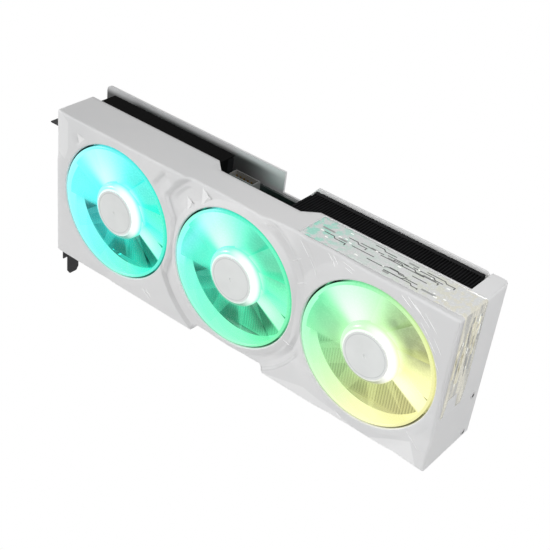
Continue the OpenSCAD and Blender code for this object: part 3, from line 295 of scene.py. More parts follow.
finishes = dict(
    finBlack=([f"fins_{n}" for n in fanNames], (0.008, 0.008, 0.009), (0.016, 0.016, 0.017), 2600,
        dict(specular=0.05)),
    whiteMetal=(["backplate"], (0.76, 0.765, 0.77), (0.82, 0.82, 0.825), 1800, dict(rough=(0.38, 0.5))),
    blackMetal=(["fin_cover", "bottom_rail"], (0.004, 0.004, 0.004), (0.008, 0.008, 0.008), 2600,
        dict(specular=0.008)),
    blackSheet=(["slot_bracket", "tail_bracket"], (0.014, 0.014, 0.015), (0.026, 0.026, 0.028), 1500,
        dict(rough=(0.4, 0.55), specular=0.25, brush=(1, 1, 0.04))),
    board=(["circuit_board"], (0.006, 0.009, 0.009), (0.016, 0.024, 0.022), 900,
        dict(rough=(0.3, 0.45), coat=0.4)),
    gold=(["edge_contacts", "power_pins"], (0.72, 0.47, 0.13), (0.86, 0.6, 0.2), 700,
        dict(rough=(0.18, 0.3), depth=0.01, metal=1, brush=(1, 1, 0.05))),
    package=(["processor_base"], (0.012, 0.03, 0.02), (0.02, 0.045, 0.03), 900,
        dict(rough=(0.4, 0.55), depth=0.01)),
    silicon=(["processor_die"], (0.1, 0.1, 0.11), (0.16, 0.16, 0.18), 200,
        dict(rough=(0.08, 0.15), depth=0.003, metal=0.6)),
    chipBlack=(["memory_chips", "power_stages"], (0.01, 0.01, 0.01), (0.022, 0.022, 0.022), 2400, dict()),
    pad=(["memory_pads"], (0.28, 0.32, 0.36), (0.36, 0.4, 0.44), 1400, dict(rough=(0.75, 0.9), depth=0.04)),
    ferrite=(["chokes"], (0.05, 0.05, 0.052), (0.09, 0.09, 0.092), 1700,
        dict(rough=(0.55, 0.7), depth=0.04)),
    brightMetal=(["capacitors"] + [f"video_socket_{k}" for k in (1, 2, 3, 4)], (0.55, 0.55, 0.56),
        (0.7, 0.7, 0.71), 800, dict(rough=(0.25, 0.4), depth=0.01, metal=1, brush=(0.06, 1, 1))),
    socketGrey=(["power_socket"], (0.17, 0.17, 0.167), (0.23, 0.23, 0.226), 2000, dict(rough=(0.4, 0.55))),
    screwWithPaintedShade=(["end_screws"], (0.012, 0.012, 0.012), (0.03, 0.03, 0.03), 1500,
        dict(rough=(0.35, 0.5), specular=0.3, brush=(0.08, 1, 1))),
    socketPlastic=(["socket_tongues", "fan_headers"], (0.012, 0.012, 0.012), (0.03, 0.03, 0.03), 2000,
        dict(rough=(0.45, 0.6))),
    lead=(["fan_leads"], (0.012, 0.012, 0.013), (0.03, 0.03, 0.032), 1200, dict()),
    copper=(["cold_plate", "heat_pipes", "fan_coils"], (0.62, 0.27, 0.15), (0.78, 0.38, 0.22), 500,
        dict(rough=(0.22, 0.36), depth=0.01, metal=1, brush=(0.05, 1, 1))),
    plainAluminium=(["cooling_plate", "standoffs"], (0.52, 0.53, 0.54), (0.64, 0.65, 0.66), 900,
        dict(rough=(0.3, 0.45), depth=0.01, metal=1, brush=(0.05, 1, 1))),
    bronze=(["fan_bearings"], (0.35, 0.2, 0.09), (0.46, 0.28, 0.13), 1600,
        dict(rough=(0.35, 0.5), metal=1)),
    coreSteel=(["fan_stators", "retention_spring", "retention_screws", "backplate_screws",
        "bracket_screws", "shroud_screws", "fan_screws"], (0.26, 0.26, 0.27), (0.36, 0.36, 0.37), 1500,
        dict(rough=(0.35, 0.5), metal=1, brush=(1, 0.08, 1))),
    fanBoard=(["fan_boards"], (0.01, 0.05, 0.03), (0.02, 0.08, 0.045), 900, dict(rough=(0.35, 0.5))),
    fanFrame=([f"fan_{n}_frame" for n in fanNames], (0.018, 0.018, 0.019), (0.035, 0.035, 0.036), 2200,
        dict(rough=(0.5, 0.62))),
    magnet=([f"fan_{n}_magnet" for n in fanNames], (0.06, 0.055, 0.05), (0.1, 0.09, 0.085), 1800,
        dict(depth=0.03, metal=0.5)),
    shaftSteel=([f"fan_{n}_shaft" for n in fanNames], (0.6, 0.6, 0.61), (0.74, 0.74, 0.75), 900,
        dict(rough=(0.12, 0.22), depth=0.005, metal=1, brush=(1, 0.05, 1))),
    lamp=(["panel_lamps"], (0.72, 0.7, 0.6), (0.86, 0.84, 0.72), 1500, dict(rough=(0.4, 0.55), depth=0.01)))
plain = {}


def plainFinish(name, nodes, low, high, grain, rough=(0.5, 0.65), depth=0.02, metal=0, coat=0,
                brush=(1, 1, 1), specular=0.5):
    plain[name], at = newMaterial(name)
    fine = at.stretched(brush).noise(grain, 3)
    mixed = fine * 0.45 + at.noise(grain / 40) * 0.55
    at.paint(Base=mixed.graded(low, high), Metallic=metal, Roughness=mixed.graded(*rough),
             Normal=fine.bump(depth, 0.6), Specular=specular, Coat=coat, CoatRough=0.25)
    for node in nodes:
        dress(node, plain[name])


def finishPlace(finish):
    # Object coordinates in a finish's material
    return Sock(plain[finish].node_tree).place()


def tintFinish(finish, amount, colour):
    # mixes a colour over the finish's own one by an amount that varies over the piece
    own = plain[finish].node_tree.nodes["Principled BSDF"].inputs["Base Color"].links[0].from_socket
    amount.paint(Base=amount.mix(Sock(amount.tree, own), colour))


for name, (nodes, low, high, grain, more) in finishes.items():
    plainFinish(name, nodes, low, high, grain, **more)

# painted shade at the foot of the backplate's inner face, deepest behind the fin cover, and painted light
# that makes its right part paler where the fins shade it
shade = dict(
    face=(51.7, 51.3), foot=(106.6, 101.4), along=(160.65, 113.65, 0, 0.9), right=(165.65, 175.65),
    dark=(0.01, 0.01, 0.01), pale=(0.97, 0.97, 0.972))
x, y, z = finishPlace("whiteMetal").inMm()
innerFace = y.step(*shade["face"])
tintFinish("whiteMetal", innerFace * z.step(*shade["foot"]) * x.step(*shade["along"]), shade["dark"])
tintFinish("whiteMetal", innerFace * x.step(*shade["right"]), shade["pale"])

# the two screws of the end: a pale rim in the heads' own colour round a dark middle, which is painted shade
# in their recess
screwRim = dict(share=(0.5, 0.62), pale=(0.62, 0.62, 0.625))
screwLow, screwHigh = (np.array(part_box("end_screws")) - cooler) / mm
head = float(screwHigh[1] - screwLow[1]) / 2
x, y, z = finishPlace("screwWithPaintedShade").inMm()
screwPitch = float(screwHigh[2] - screwLow[2]) - 2 * head
fromAxis = (y - screwLow[1] - head).hypot(z.wrapped(screwLow[2] + head, screwPitch))
tintFinish("screwWithPaintedShade", (fromAxis / head).step(*screwRim["share"]), screwRim["pale"])
print("plain finishes ready")


# colours of the lamps along the card

lampHues = dict(span=305, slope=0.6, stops=[
    (0.03, (0.14, 1, 1)), (0.12, (0.08, 1, 0.97)), (0.2, (0.04, 1, 0.85)), (0.285, (0.03, 1, 0.68)),
    (0.34, (0.04, 1, 0.7)), (0.366, (0.16, 1, 0.92)), (0.4, (0.07, 1, 0.7)), (0.507, (0.08, 1, 0.58)),
    (0.61, (0.12, 1, 0.5)), (0.68, (0.2, 1, 0.46)), (0.73, (0.34, 1, 0.46)), (0.83, (0.65, 1, 0.42)),
    (0.9, (0.92, 1, 0.4)), (0.97, (1, 0.97, 0.42))])


def lampHue(x, z):
    # the lamps run from cyan at the bracket end through green to yellow at the tail, further on lower down
    run = (x - (z - fanZ) * lampHues["slope"]) / lampHues["span"]
    return x.make("ShaderNodeValToRGB", {"Fac": run}, stops=lampHues["stops"])


# front shroud: one skin of three cells round the fan openings, with walls that run back to the band

shroud = dict(
    length=305, height=107.6, edge=1.5, rim=0.9, hole=46, holeRows=(14, 9, 4.5), wall=2, stepAcross=1.7,
    frontRows=44, cornerColumns=6, bandX=(112.6, 121.6, 182.9, 191.9), band=(31, 22.5, 30.3), capX=293.7,
    capStops=(293.6, 293.8, 299, 301, 302.2), deep=52.7, capRound=4, notch=(126.5, 130.5, 180.8, 184.8),
    notchHeight=4.6, screwX=(32, 98, 226, 273.7), screwHalf=3.2, screwHole=2.4, screwSlack=0.006,
    screwPast=0.5)
panel = dict(
    x0=196, y0=5, y1=28.8, endZ=37, forkZ=48, fork=(10, 20), lean=2, gap=0.07, wall=1.6, stripRows=4)
# relief of the front in mm and degrees: the radius of the middle fan's collar by angle, the right plate, arcs
# round the middle fan, folds that fan out from the openings, and a facet at the upper left; rows of arcs and
# folds hold what the functions of these names take
relief = dict(
    edgeAngle=[90, 112, 126, 150, 158, 168, 178, 191, 205, 244, 270],
    edgeRadius=[61, 61, 66.5, 66.5, 55, 51.5, 50.2, 53.5, 61.2, 60.7, 61],
    collarDrop=2, collarSlope=2.1, collarRise=0.5, riseRun=(5, 14), lip=0.25, lipWidth=(5, 5, 11),
    plateTop=(82, 60), plateFoot=(-50, -26), plateDrop=1.9, bevel=(52.6, 55.8), ridge=0.6,
    ridgeIn=(56.2, 57.2), ridgeOut=(60.5, 57.6),
    tail=dict(x=(196, 300), radius=(58, 64), level=0.2),
    under=dict(angle=(-34, -28), radius=(59, 60.6), level=0.3),
    arcs=[((128, 133), (150, 145), (50, 56), (61.6, 60.2), -0.9),
          ((139, 142), (156, 152), (66, 72), (77, 75.4), -1.3),
          ((26, 31), (53, 49), (67.2, 68.6), (82, 72), 0.7)],
    foldIn=2.5, foldOut=5,
    folds=[(1, 86, 70, 63, 47, 64, 1.2), (1, -68, -48, -34, 50, 60.5, -0.9),
           (0, 137, 132.5, 122, 48, 57, -1.2), (0, -112, -96, -90, 47, 58, -0.6),
           (2, -122, -108, -100, 48, 62, -0.8), (2, -70, -62, -46, 50, 80, -1),
           (2, -40, -34, -16, 50, 76, -0.9)],
    facet=dict(x=(11, 2), foot=(4, 74), slope=0.8, soft=3, depth=0.6), endEdge=dict(x=(4.5, 1.5), depth=0.2))
screwY = float((np.mean(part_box("shroud_screws"), axis=0) - cooler)[1] / mm)


def ramp(value, start, end):
    # 0 before start, 1 after end, straight between
    return np.clip((value - start) / (end - start), 0, 1)


def ease(value, start, end):
    # the same with a smooth start and end: 3 t squared less 2 t cubed, where t is the ramp
    t = ramp(value, start, end)
    return t * t * (3 - 2 * t)


def polar(x, z, fan):
    # radius, and angle in degrees, from a fan's axis
    dx, dz = x - fanX[fan], z - fanZ
    return np.hypot(dx, dz), np.degrees(np.arctan2(dz, dx))


def fold(x, z, fan, foot, crest, tail, inner, outer, height):
    # a ridge along the ray at the crest's angle, with straight sides down to the foot and the tail
    r, angle = polar(x, z, fan)
    ridge = np.minimum(ramp(angle, foot, crest), ramp(angle, tail, crest))
    ends = ramp(r, inner, inner + relief["foldIn"]) * ramp(r, outer, outer - relief["foldOut"])
    return height * ridge * ends


def arc(r, angle, start, end, inner, outer, height):
    # a low arc round the middle fan, with eased ends and straight flanks
    return height * ease(angle, *start) * ease(angle, *end) * ramp(r, *inner) * ramp(r, *outer)


def frontDepth(x, z):
    # mm behind the foremost plane: the left plate steps down to a collar round the middle fan, and the collar
    # slopes down to the right plate, which rises again to the tail; arcs, folds and an end facet lie on these
    r, angle = polar(x, z, 1)
    inward = np.interp(angle % 360, relief["edgeAngle"], relief["edgeRadius"]) - r
    collar = relief["collarDrop"] * ramp(inward, 0, relief["collarSlope"])
    collar = collar - relief["collarRise"] * ramp(inward, *relief["riseRun"])
    share = ease(angle, *relief["plateTop"]) * ease(angle, *relief["plateFoot"])
    right = relief["collarDrop"] - relief["collarRise"]
    right = right + share * relief["plateDrop"] * ramp(r, *relief["bevel"])
    right = right - share * relief["ridge"] * ramp(r, *relief["ridgeIn"]) * ramp(r, *relief["ridgeOut"])
    tail, under, facet, endEdge = (relief[k] for k in ("tail", "under", "facet", "endEdge"))
    right = right - (right - tail["level"]) * ramp(x, *tail["x"]) * ramp(r, *tail["radius"])
    right = right - (right - under["level"]) * (1 - ease(angle, *under["angle"])) * ramp(r, *under["radius"])
    depth = np.where(x < fanX[1], collar, right)
    depth = depth - sum(arc(r, angle, *a) for a in relief["arcs"])
    depth = depth - sum(fold(x, z, *f) for f in relief["folds"])
    above = z - facet["foot"][1] - (x - facet["foot"][0]) * facet["slope"]
    depth = depth + facet["depth"] * ramp(x, *facet["x"]) * ramp(above, 0, facet["soft"])
    depth = depth + endEdge["depth"] * ramp(x, *endEdge["x"])
    near = np.min([ramp(polar(x, z, i)[0] - shroud["hole"], shroud["rim"], width)
                   for i, width in enumerate(relief["lipWidth"])], axis=0)
    return relief["lip"] + (np.maximum(depth, 0) - relief["lip"]) * near


def along(corners, spacing):
    # points along straight runs between corners, about spacing apart, without the last corner
    corners = np.asarray(corners, float)
    runs = []
    for a, b in zip(corners[:-1], corners[1:]):
        count = max(1, math.ceil(np.linalg.norm(b - a) / spacing - 1e-6))
        runs.append(a + (b - a) * (np.arange(count) / count)[:, None])
    return np.concatenate(runs)


edge, length, height = shroud["edge"], shroud["length"], shroud["height"]
low, high, spacing = edge, height - edge, shroud["stepAcross"]
straight, close = 0.9999, 0.01  # bounds of what counts as square to an end, and as on a face
edgeTurns = np.radians(np.linspace(0, 90, 6))[:, None]
splits = [(a + b) / 2 for a, b in zip(fanX, fanX[1:])]
n0, n1, n2, n3 = shroud["notch"]
lift = shroud["notchHeight"] + edge
screwStops = [x + d for x in shroud["screwX"] for d in (-shroud["screwHalf"], shroud["screwHalf"])]
bottomRuns = [[(x, low) for x in (edge, *screwStops[:4], splits[0])],
              [(splits[0], low), (n0 - edge, low), (n1 - edge, lift), (n2 + edge, lift), (n3 + edge, low),
               (splits[1], low)],
              [(x, low) for x in (splits[1], *screwStops[4:], *shroud["capStops"], length - edge)]]
topStops = [(splits[0], edge), (splits[1], panel["x0"] - panel["gap"], *shroud["bandX"][::-1], splits[0]),
            (length - edge, *shroud["capStops"][::-1], splits[1])]
topRuns = [[(x, high) for x in stops] for stops in topStops]
endStops = [low, panel["endZ"] - panel["gap"], panel["forkZ"] - panel["gap"], high]
sideRuns = [[(edge, high), (edge, low)], [(length - edge, z) for z in endStops]]


def cellSheet(i):
    # rays from the fan's axis: up the opening's wall, over its rounded rim and across the front to the border
    leftX = splits[i - 1] if i else edge
    right = sideRuns[1] if i == 2 else [(splits[i], low), (splits[i], high)]
    runs = (bottomRuns[i], right, topRuns[i], [(leftX, high), (leftX, low)])
    border = np.concatenate([along(run, spacing) for run in runs])
    centre, hole, rim = fanCentres[i], shroud["hole"], shroud["rim"]
    outward = border - centre
    outward = outward / np.linalg.norm(outward, axis=1)[:, None]
    rimPlace = centre + outward * (hole + rim)
    rimDepth = frontDepth(*rimPlace.T)
    wallRows = [(hole, y) for y in shroud["holeRows"]]
    wallRows += [(hole + rim * (1 - math.sin(p)), rimDepth + rim * (1 - math.cos(p)))
                 for p in np.radians([90, 67.5, 45, 22.5])]
    rows = [grid(centre[0] + outward[:, 0] * r, y, centre[1] + outward[:, 1] * r) for r, y in wallRows]
    front = rimPlace + (border - rimPlace) * np.linspace(0, 1, shroud["frontRows"])[:, None, None]
    x, z = front[..., 0], front[..., 1]
    return sheet(np.concatenate([rows, grid(x, frontDepth(x, z), z)]), wrapCols=True)


def bandDepth(x):
    # how far back the side walls run: the band at each end, the narrower middle and the full-depth cap
    d = shroud["band"]
    depth = np.interp(x, shroud["bandX"], [d[0], d[1], d[1], d[2]])
    corner = np.clip((x - length + shroud["capRound"]) / shroud["capRound"], 0, 1)
    cap = shroud["deep"] - shroud["capRound"] * (1 - np.sqrt(1 - corner ** 2))
    return np.where(x > shroud["capX"], cap, depth)


def outline(runs, normals):
    # border columns with the direction each one turns out to; corners are fans of columns on one point
    places, outs = [], []
    for run, (start, end) in zip(runs, normals):
        pts = along(run, spacing)
        step = np.diff(np.concatenate([pts, [run[-1]]]), axis=0)
        side = np.column_stack([step[:, 1], -step[:, 0]])
        side = side / np.linalg.norm(side, axis=1)[:, None]
        before = np.concatenate([side[:1], side[:-1]])
        places.append(pts)
        outs.append((side + before) / (1 + np.sum(side * before, axis=1))[:, None])
        if end is not None:
            turnBy = np.radians(np.linspace(start, end, shroud["cornerColumns"]))
            places.append(np.repeat([run[-1]], len(turnBy), axis=0))
            outs.append(np.column_stack([np.cos(turnBy), np.sin(turnBy)]))
    return np.concatenate(places), np.concatenate(outs)


def wallSheet(places, outs, lines, back):
    # rows that turn over the front edge by a quarter circle, then run back along the given lines to the rear
    front = frontDepth(*places.T)
    offset = np.concatenate([edge * np.sin(edgeTurns) * np.ones_like(front),
                             np.full((len(lines) + 1, len(front)), edge)])
    lines = np.minimum(np.maximum(lines, front + edge), back)
    depth = np.concatenate([front + edge * (1 - np.cos(edgeTurns)), lines, back[None]])
    return grid(places[:, 0] + outs[:, 0] * offset, depth, places[:, 1] + outs[:, 1] * offset)


def panelLines(z, onEnd, gap):
    # the four lines that bound the panel and its two fingers; the fingers narrow downwards on the end wall
    fork, lean = panel["fork"], panel["lean"] * (1 - ramp(z, panel["endZ"], panel["forkZ"])) * onEnd
    return np.stack([np.full_like(z, panel["y0"] - gap), fork[0] - lean + gap, fork[1] + lean / 2 - gap,
                     panel["y1"] - lean + gap])


loopRuns = [bottomRuns[0] + bottomRuns[1][1:] + bottomRuns[2][1:], sideRuns[1],
            topRuns[2] + topRuns[1][1:] + topRuns[0][1:], sideRuns[0]]
places, outs = outline(loopRuns, [(-90, 0), (0, 90), (90, 180), (180, 270)])
onEnd, onBottom = outs[:, 0] > straight, outs[:, 1] < -0.5
lines = panelLines(places[:, 1], onEnd, panel["gap"])
screwLines = screwY + shroud["screwHalf"] * np.array([-1, 1, 1]) + np.array([0, 0, shroud["screwPast"]])
lines[1:] = np.where(onBottom, screwLines[:, None], lines[1:])
back = bandDepth(np.minimum(places[:, 0] + outs[:, 0] * edge, length))
back = np.where(onEnd, shroud["deep"] - shroud["capRound"], back)
wallPoints = wallSheet(places, outs, lines, back)
flat, wallQuads = sheet(wallPoints, wrapCols=True)
middle = flat[wallQuads].mean(1)
strip = wallQuads.min(1) // wallPoints.shape[1] - len(edgeTurns) + 1
# the panel's opening, where the fingers leave a tongue of the wall between them, and the screws' squares
inFingers = (middle[:, 2] > panel["endZ"] - panel["gap"]) & (strip != 2)
onEndPanel = (middle[:, 0] > length - edge) & (inFingers | (middle[:, 2] > panel["forkZ"] - panel["gap"]))
onTopPanel = (middle[:, 2] > high - close) & (middle[:, 0] > panel["x0"] - panel["gap"])
cut = (strip >= 1) & (strip <= 3) & (onTopPanel | onEndPanel)
fromScrew = np.min(np.abs(middle[:, :1] - np.array(shroud["screwX"])), axis=1)
cut |= (strip == 2) & (middle[:, 2] < close) & (fromScrew < shroud["screwHalf"])
wallQuads = wallQuads[~cut]


def capBack():
    # the cap's rear corner as a quarter circle and the flat strip behind it, on the columns of the walls
    top = wallPoints[-1][places[:, 1] > high - close]
    x = np.unique(np.round(top[top[:, 0] > shroud["capX"], 0], 6))[::-1]
    rise = along(sideRuns[1], spacing)[:, 1]
    share = (np.append(rise, high) - low) / (high - low)
    inset = edge - np.sqrt(np.maximum(edge ** 2 - np.maximum(x - length + edge, 0) ** 2, 0))
    z = inset[:, None] + (height - 2 * inset[:, None]) * share
    y = np.where(x > length - 1e-4, shroud["deep"] - shroud["capRound"], bandDepth(np.minimum(x, length)))
    return sheet(grid(x[:, None], y[:, None], z))


def screwWell(x):
    # from a square in the lower wall to a round hole and up the hole's side
    angle = np.radians(np.arange(0, 360, 15))
    ring = np.column_stack([np.cos(angle), np.sin(angle)])
    square = ring / np.max(np.abs(ring), axis=1)[:, None] * (shroud["screwHalf"] - shroud["screwSlack"])
    rows = [(square, 0), (ring * shroud["screwHole"], 0), (ring * shroud["screwHole"], shroud["wall"])]
    return sheet(np.stack([grid(x + p[:, 0], screwY + p[:, 1], z) for p, z in rows]), wrapCols=True)


# painted shade darkens the openings inside at two sides and painted light makes the lower wall glow inside;
# on the front, painted shade darkens creases outside the middle fan's collar and the upper right plate, and
# painted light makes two triangles at its lower edge and a facet at the left paler
shroudPaint = dict(
    tones=((0.775, 0.78, 0.785), (0.81, 0.81, 0.812)), rough=(0.42, 0.54), front=(7, 6),
    within=((2.65, 4.65), (293.65, 291.65)),
    openingShade=dict(radius=(46.4, 46.1), deep=((1.2, 2.8), (17, 15.5)), bearing=135, upper=(0.5, 0.9),
                lower=(-0.6, -0.95, 0, 0.6), least=0.25, colour=(0.05, 0.05, 0.05)),
    floor=dict(height=((1.2, 1.8), (6, 3)), deep=(15, 17), glow=0.42),
    creases=[dict(radius=((50, 54), (55.6, 55.1)), bearing=((-0.6, -0.3), (1.2, 1))),
             dict(radius=((58.3, 59.2), (61.4, 60.7)), bearing=((-4, -3.5), (-0.4, -0.56)))],
    creaseShadeColour=(0.66, 0.662, 0.665),
    dimmer=dict(x=(188, 204), z=(30, 70), colour=(0.715, 0.717, 0.72)),
    pale=[dict(corners=[(145, -9), (307, -9), (217, 9)], strength=0.8),
          dict(corners=[(244, -11), (304.5, -11), (292.8, 15.85)], strength=1),
          dict(corners=[(0.1, 78.6), (8.1, 74.9), (11.3, 84.2), (11.3, 102.8), (0.1, 109)], strength=0.55)],
    soft=(-0.3, 0.4), paintedLightColour=(0.91, 0.91, 0.912))


def insideOf(x, z, corners):
    # 1 inside a convex outline with counterclockwise corners: the least distance from its sides, softened
    sides = []
    for (ax, az), (bx, bz) in zip(corners, corners[1:] + corners[:1]):
        run = math.dist((ax, az), (bx, bz))
        sides.append((z - az) * ((bx - ax) / run) - (x - ax) * ((bz - az) / run))
    nearest = sides[0]
    for side in sides[1:]:
        nearest = nearest.least(side)
    return nearest.step(*shroudPaint["soft"])


shroudMaterial, at = newMaterial("whiteShroud")
x, y, z = at.inMm()
fine, broad = at.noise(2600, 3), at.noise(28)
dx, dz, mx = x.wrapped(fanX[0], fanPitch), z - fanZ, x - fanX[1]
within, onFront = x.between(*shroudPaint["within"]), y.step(*shroudPaint["front"])
openingShade, inner, dimmer = (shroudPaint[k] for k in ("openingShade", "floor", "dimmer"))
# painted shade inside the openings, strongest at the upper left and the lower right, faint elsewhere
slant = at.math("ARCTAN2", dz, dx).towards(openingShade["bearing"])
dark = slant.step(*openingShade["upper"]).most(slant.step(*openingShade["lower"]))
dark = dark * (1 - openingShade["least"]) + openingShade["least"]
dark = dark * dx.hypot(dz).step(*openingShade["radius"]) * y.between(*openingShade["deep"]) * within
# painted light: the lower wall glows inside in the lamps' hue, where the fans' light would fall
innerFloor = z.between(*inner["height"]) * y.step(*inner["deep"]) * within
paint = broad.graded(*shroudPaint["tones"])
reach, bearing = mx.hypot(dz), at.math("ARCTAN2", dz, mx)
# painted shade in the creases outside the middle fan's collar
for crease in shroudPaint["creases"]:
    amount = reach.between(*crease["radius"]) * bearing.between(*crease["bearing"]) * onFront
    paint = amount.mix(paint, shroudPaint["creaseShadeColour"])
# painted shade: the upper right plate of the front is dimmer
paint = (x.step(*dimmer["x"]) * z.step(*dimmer["z"]) * onFront).mix(paint, dimmer["colour"])
# painted light: two paler triangles at the lower edge and a paler facet at the left
for area in shroudPaint["pale"]:
    amount = insideOf(x, z, area["corners"]) * area["strength"] * onFront
    paint = amount.mix(paint, shroudPaint["paintedLightColour"])
at.paint(Base=dark.mix(paint, openingShade["colour"]), Normal=fine.bump(0.012, 0.5),
         Roughness=(fine * 0.5 + broad * 0.5).graded(*shroudPaint["rough"]),
         Glow=innerFloor.mix(black, lampHue(x, z)), GlowStrength=inner["glow"])
shroudMesh = joinSheets("whiteShroud", [cellSheet(i) for i in range(3)] + [(flat, wallQuads), capBack()]
                        + [screwWell(x) for x in shroud["screwX"]])
addPiece("whiteShroud", shroudMesh, shroudMaterial, stands=["front_shroud"],
         wall=shroud["wall"])
print("shroud ready,", len(shroudMesh.polygons), "faces")

# embossed strokes: low roofs laid on the front from one point to another
strokes = dict(half=0.45, rise=0.28, sink=0.5, steps=17, lines=[
    ((198, 104), (206.1, 95.6)), ((206.1, 95.6), (213.2, 87.5)), ((218, 105.5), (224.5, 99.5)),
    ((221.5, 105.5), (226, 101.5)), ((228, 105), (238, 103.8)), ((231, 102.6), (237, 101.6)),
    ((268, 105), (276, 100)), ((272, 106), (283, 98.6)), ((277, 103.6), (289, 94)),
    ((284, 101.5), (294, 92.6)), ((283, 95), (290, 88)), ((289, 88), (296, 80)), ((292, 90), (299, 81.5)),
    ((296, 76), (300, 70.5)), ((195.6, 88.9), (201, 92.6)), ((201.4, 76.4), (208.2, 80)),
    ((197, 34), (204.5, 30.4)), ((82, 10.6), (90, 4.6)), ((85, 12), (91, 7)), ((240, 5), (247, 2.6)),
    ((288.6, 21.8), (300, 12))])


def strokeSheet(start, end):
    # a roof of three rails, sunk a little at its eaves, that tapers to a point at both ends
    t = np.linspace(0, 1, strokes["steps"])[:, None]
    spine = np.asarray(start) + (np.asarray(end) - start) * t
    side = np.array([end[1] - start[1], start[0] - end[0]]) / math.dist(start, end)
    taper = np.sqrt(np.abs(np.sin(np.pi * t)))
    rails = [(-1, -strokes["sink"]), (0, strokes["rise"]), (1, -strokes["sink"])]
    flatRails = [spine + side * strokes["half"] * k * taper for k, rise in rails]
    points = [grid(q[:, 0], frontDepth(*q.T) - rise * taper[:, 0], q[:, 1])
              for q, (k, rise) in zip(flatRails, rails)]
    return sheet(np.stack(points), wrapRows=True)


# whiter than the shroud: painted light on the folded facets and the embossed strokes
facetMaterial, at = newMaterial("facetsPaintedPale")
fine = at.noise(2600, 3)
at.paint(Base=at.noise(90).graded((0.9, 0.9, 0.905), (0.95, 0.95, 0.95)),
         Roughness=fine.graded(0.24, 0.34), Normal=fine.bump(0.01, 0.4))
strokeSheets = [strokeSheet(*line) for line in strokes["lines"]]
strokeMesh = joinSheets("embossedStrokes", strokeSheets, weld=0.0005, sharp=20)
addPiece("embossedStrokes", strokeMesh, facetMaterial)

# folded facets beside the openings: a raised corner between a steep left side and a long right one
facets = dict(sink=0.04, foremost=0.05, wedges=[  # top, foot, peak, tail, rise
    ((113.2, 94.2), (116, 84.8), (119.3, 93), (120.4, 91.4), 1.5),
    ((125.4, 105.8), (126.6, 93.6), (131.8, 102.2), (133.4, 100.4), 1.6),
    ((19.4, 98.4), (21.2, 91.2), (23.4, 95.2), (26.4, 96.8), 0.55),
    ((160, 105.8), (166, 102.4), (176, 104.8), (181, 103), 0.8)])


def wedgeSheet(top, foot, peak, tail, rise):
    # a tetrahedron: rows shrink from its top corner to the other three and to their middle
    corners = np.array([top, foot, peak, tail], float)
    depth = np.maximum(frontDepth(*corners.T) + facets["sink"], facets["foremost"])
    depth[2] = max(depth[2] - facets["sink"] - rise, facets["foremost"])
    a, b, c, d = np.column_stack([corners[:, 0], depth, corners[:, 1]])
    rows = np.array([[a, a, a], [b, c, d], [(b + c + d) / 3] * 3])
    return sheet(rows, wrapCols=True)


facetMesh = joinSheets("foldedFacets", [wedgeSheet(*w) for w in facets["wedges"]], weld=0.001, sharp=10)
addPiece("foldedFacets", facetMesh, facetMaterial)

# folded feet that close the fin stacks underneath, and a folded tab along the right stack's rear top edge
feet = dict(depth=6.2, thick=0.25, gap=0.02, tab=3, pastBoard=0.5)


def slab(near, far):
    # the six sides of a box between two corners
    ends = np.array([near, far])
    corners = np.array([(ends[i, 0], ends[j, 1], ends[k, 2]) for i in (0, 1) for j in (0, 1) for k in (0, 1)])
    quads = [(0, 1, 3, 2), (4, 6, 7, 5), (0, 4, 5, 1), (2, 3, 7, 6), (0, 2, 6, 4), (1, 5, 7, 3)]
    return corners, np.array(quads)


stacks = [(np.array(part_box(f"fins_{n}")) - cooler) / mm for n in fanNames]
feetSheets = [slab((a[0], a[1], a[2] - feet["gap"] - feet["thick"]),
                   (b[0], a[1] + feet["depth"], a[2] - feet["gap"])) for a, b in stacks]
tabX = (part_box("circuit_board")[1][0] - cooler[0]) / mm + feet["pastBoard"]
tailHigh = stacks[2][1]
feetSheets.append(slab((tabX, tailHigh[1] - feet["tab"], tailHigh[2] + feet["gap"]),
                       (tailHigh[0], tailHigh[1], tailHigh[2] + feet["gap"] + feet["thick"])))
addPiece("finFeet", joinSheets("finFeet", feetSheets, sharp=30), plain["finBlack"])


# corner panel: a milky skin with the shroud's edge rounding, that glows from mint to cream

endRun = [(length - edge, z) for z in (panel["endZ"], panel["forkZ"], high)]
topRun = [(x, high) for x in (length - edge, panel["x0"])]
places, outs = outline([endRun, topRun], [(0, 90), (90, None)])
places = np.concatenate([places, [topRun[-1]]])
outs = np.concatenate([outs, [(0, 1)]])
endCount = len(along(endRun, spacing))
outs[endCount - 1] = (1, 0)
outs[endCount + shroud["cornerColumns"]] = (0, 1)
lines = panelLines(places[:, 1], outs[:, 0] > straight, 0)
skin = grid(places[:, 0] + outs[:, 0] * edge, lines, places[:, 1] + outs[:, 1] * edge)
share = np.linspace(0, 1, panel["stripRows"] + 1)[:-1, None, None]
skinRows = np.concatenate([skin[k] + (skin[k + 1] - skin[k]) * share for k in range(3)] + [skin[3:]])
flatSkin, panelQuads = sheet(skinRows)
middle = flatSkin[panelQuads].mean(1)
inGap = panelQuads.min(1) // skinRows.shape[1] // panel["stripRows"] == 1
panelQuads = panelQuads[~(inGap & (middle[:, 2] < panel["forkZ"]) & (middle[:, 0] > length - edge))]

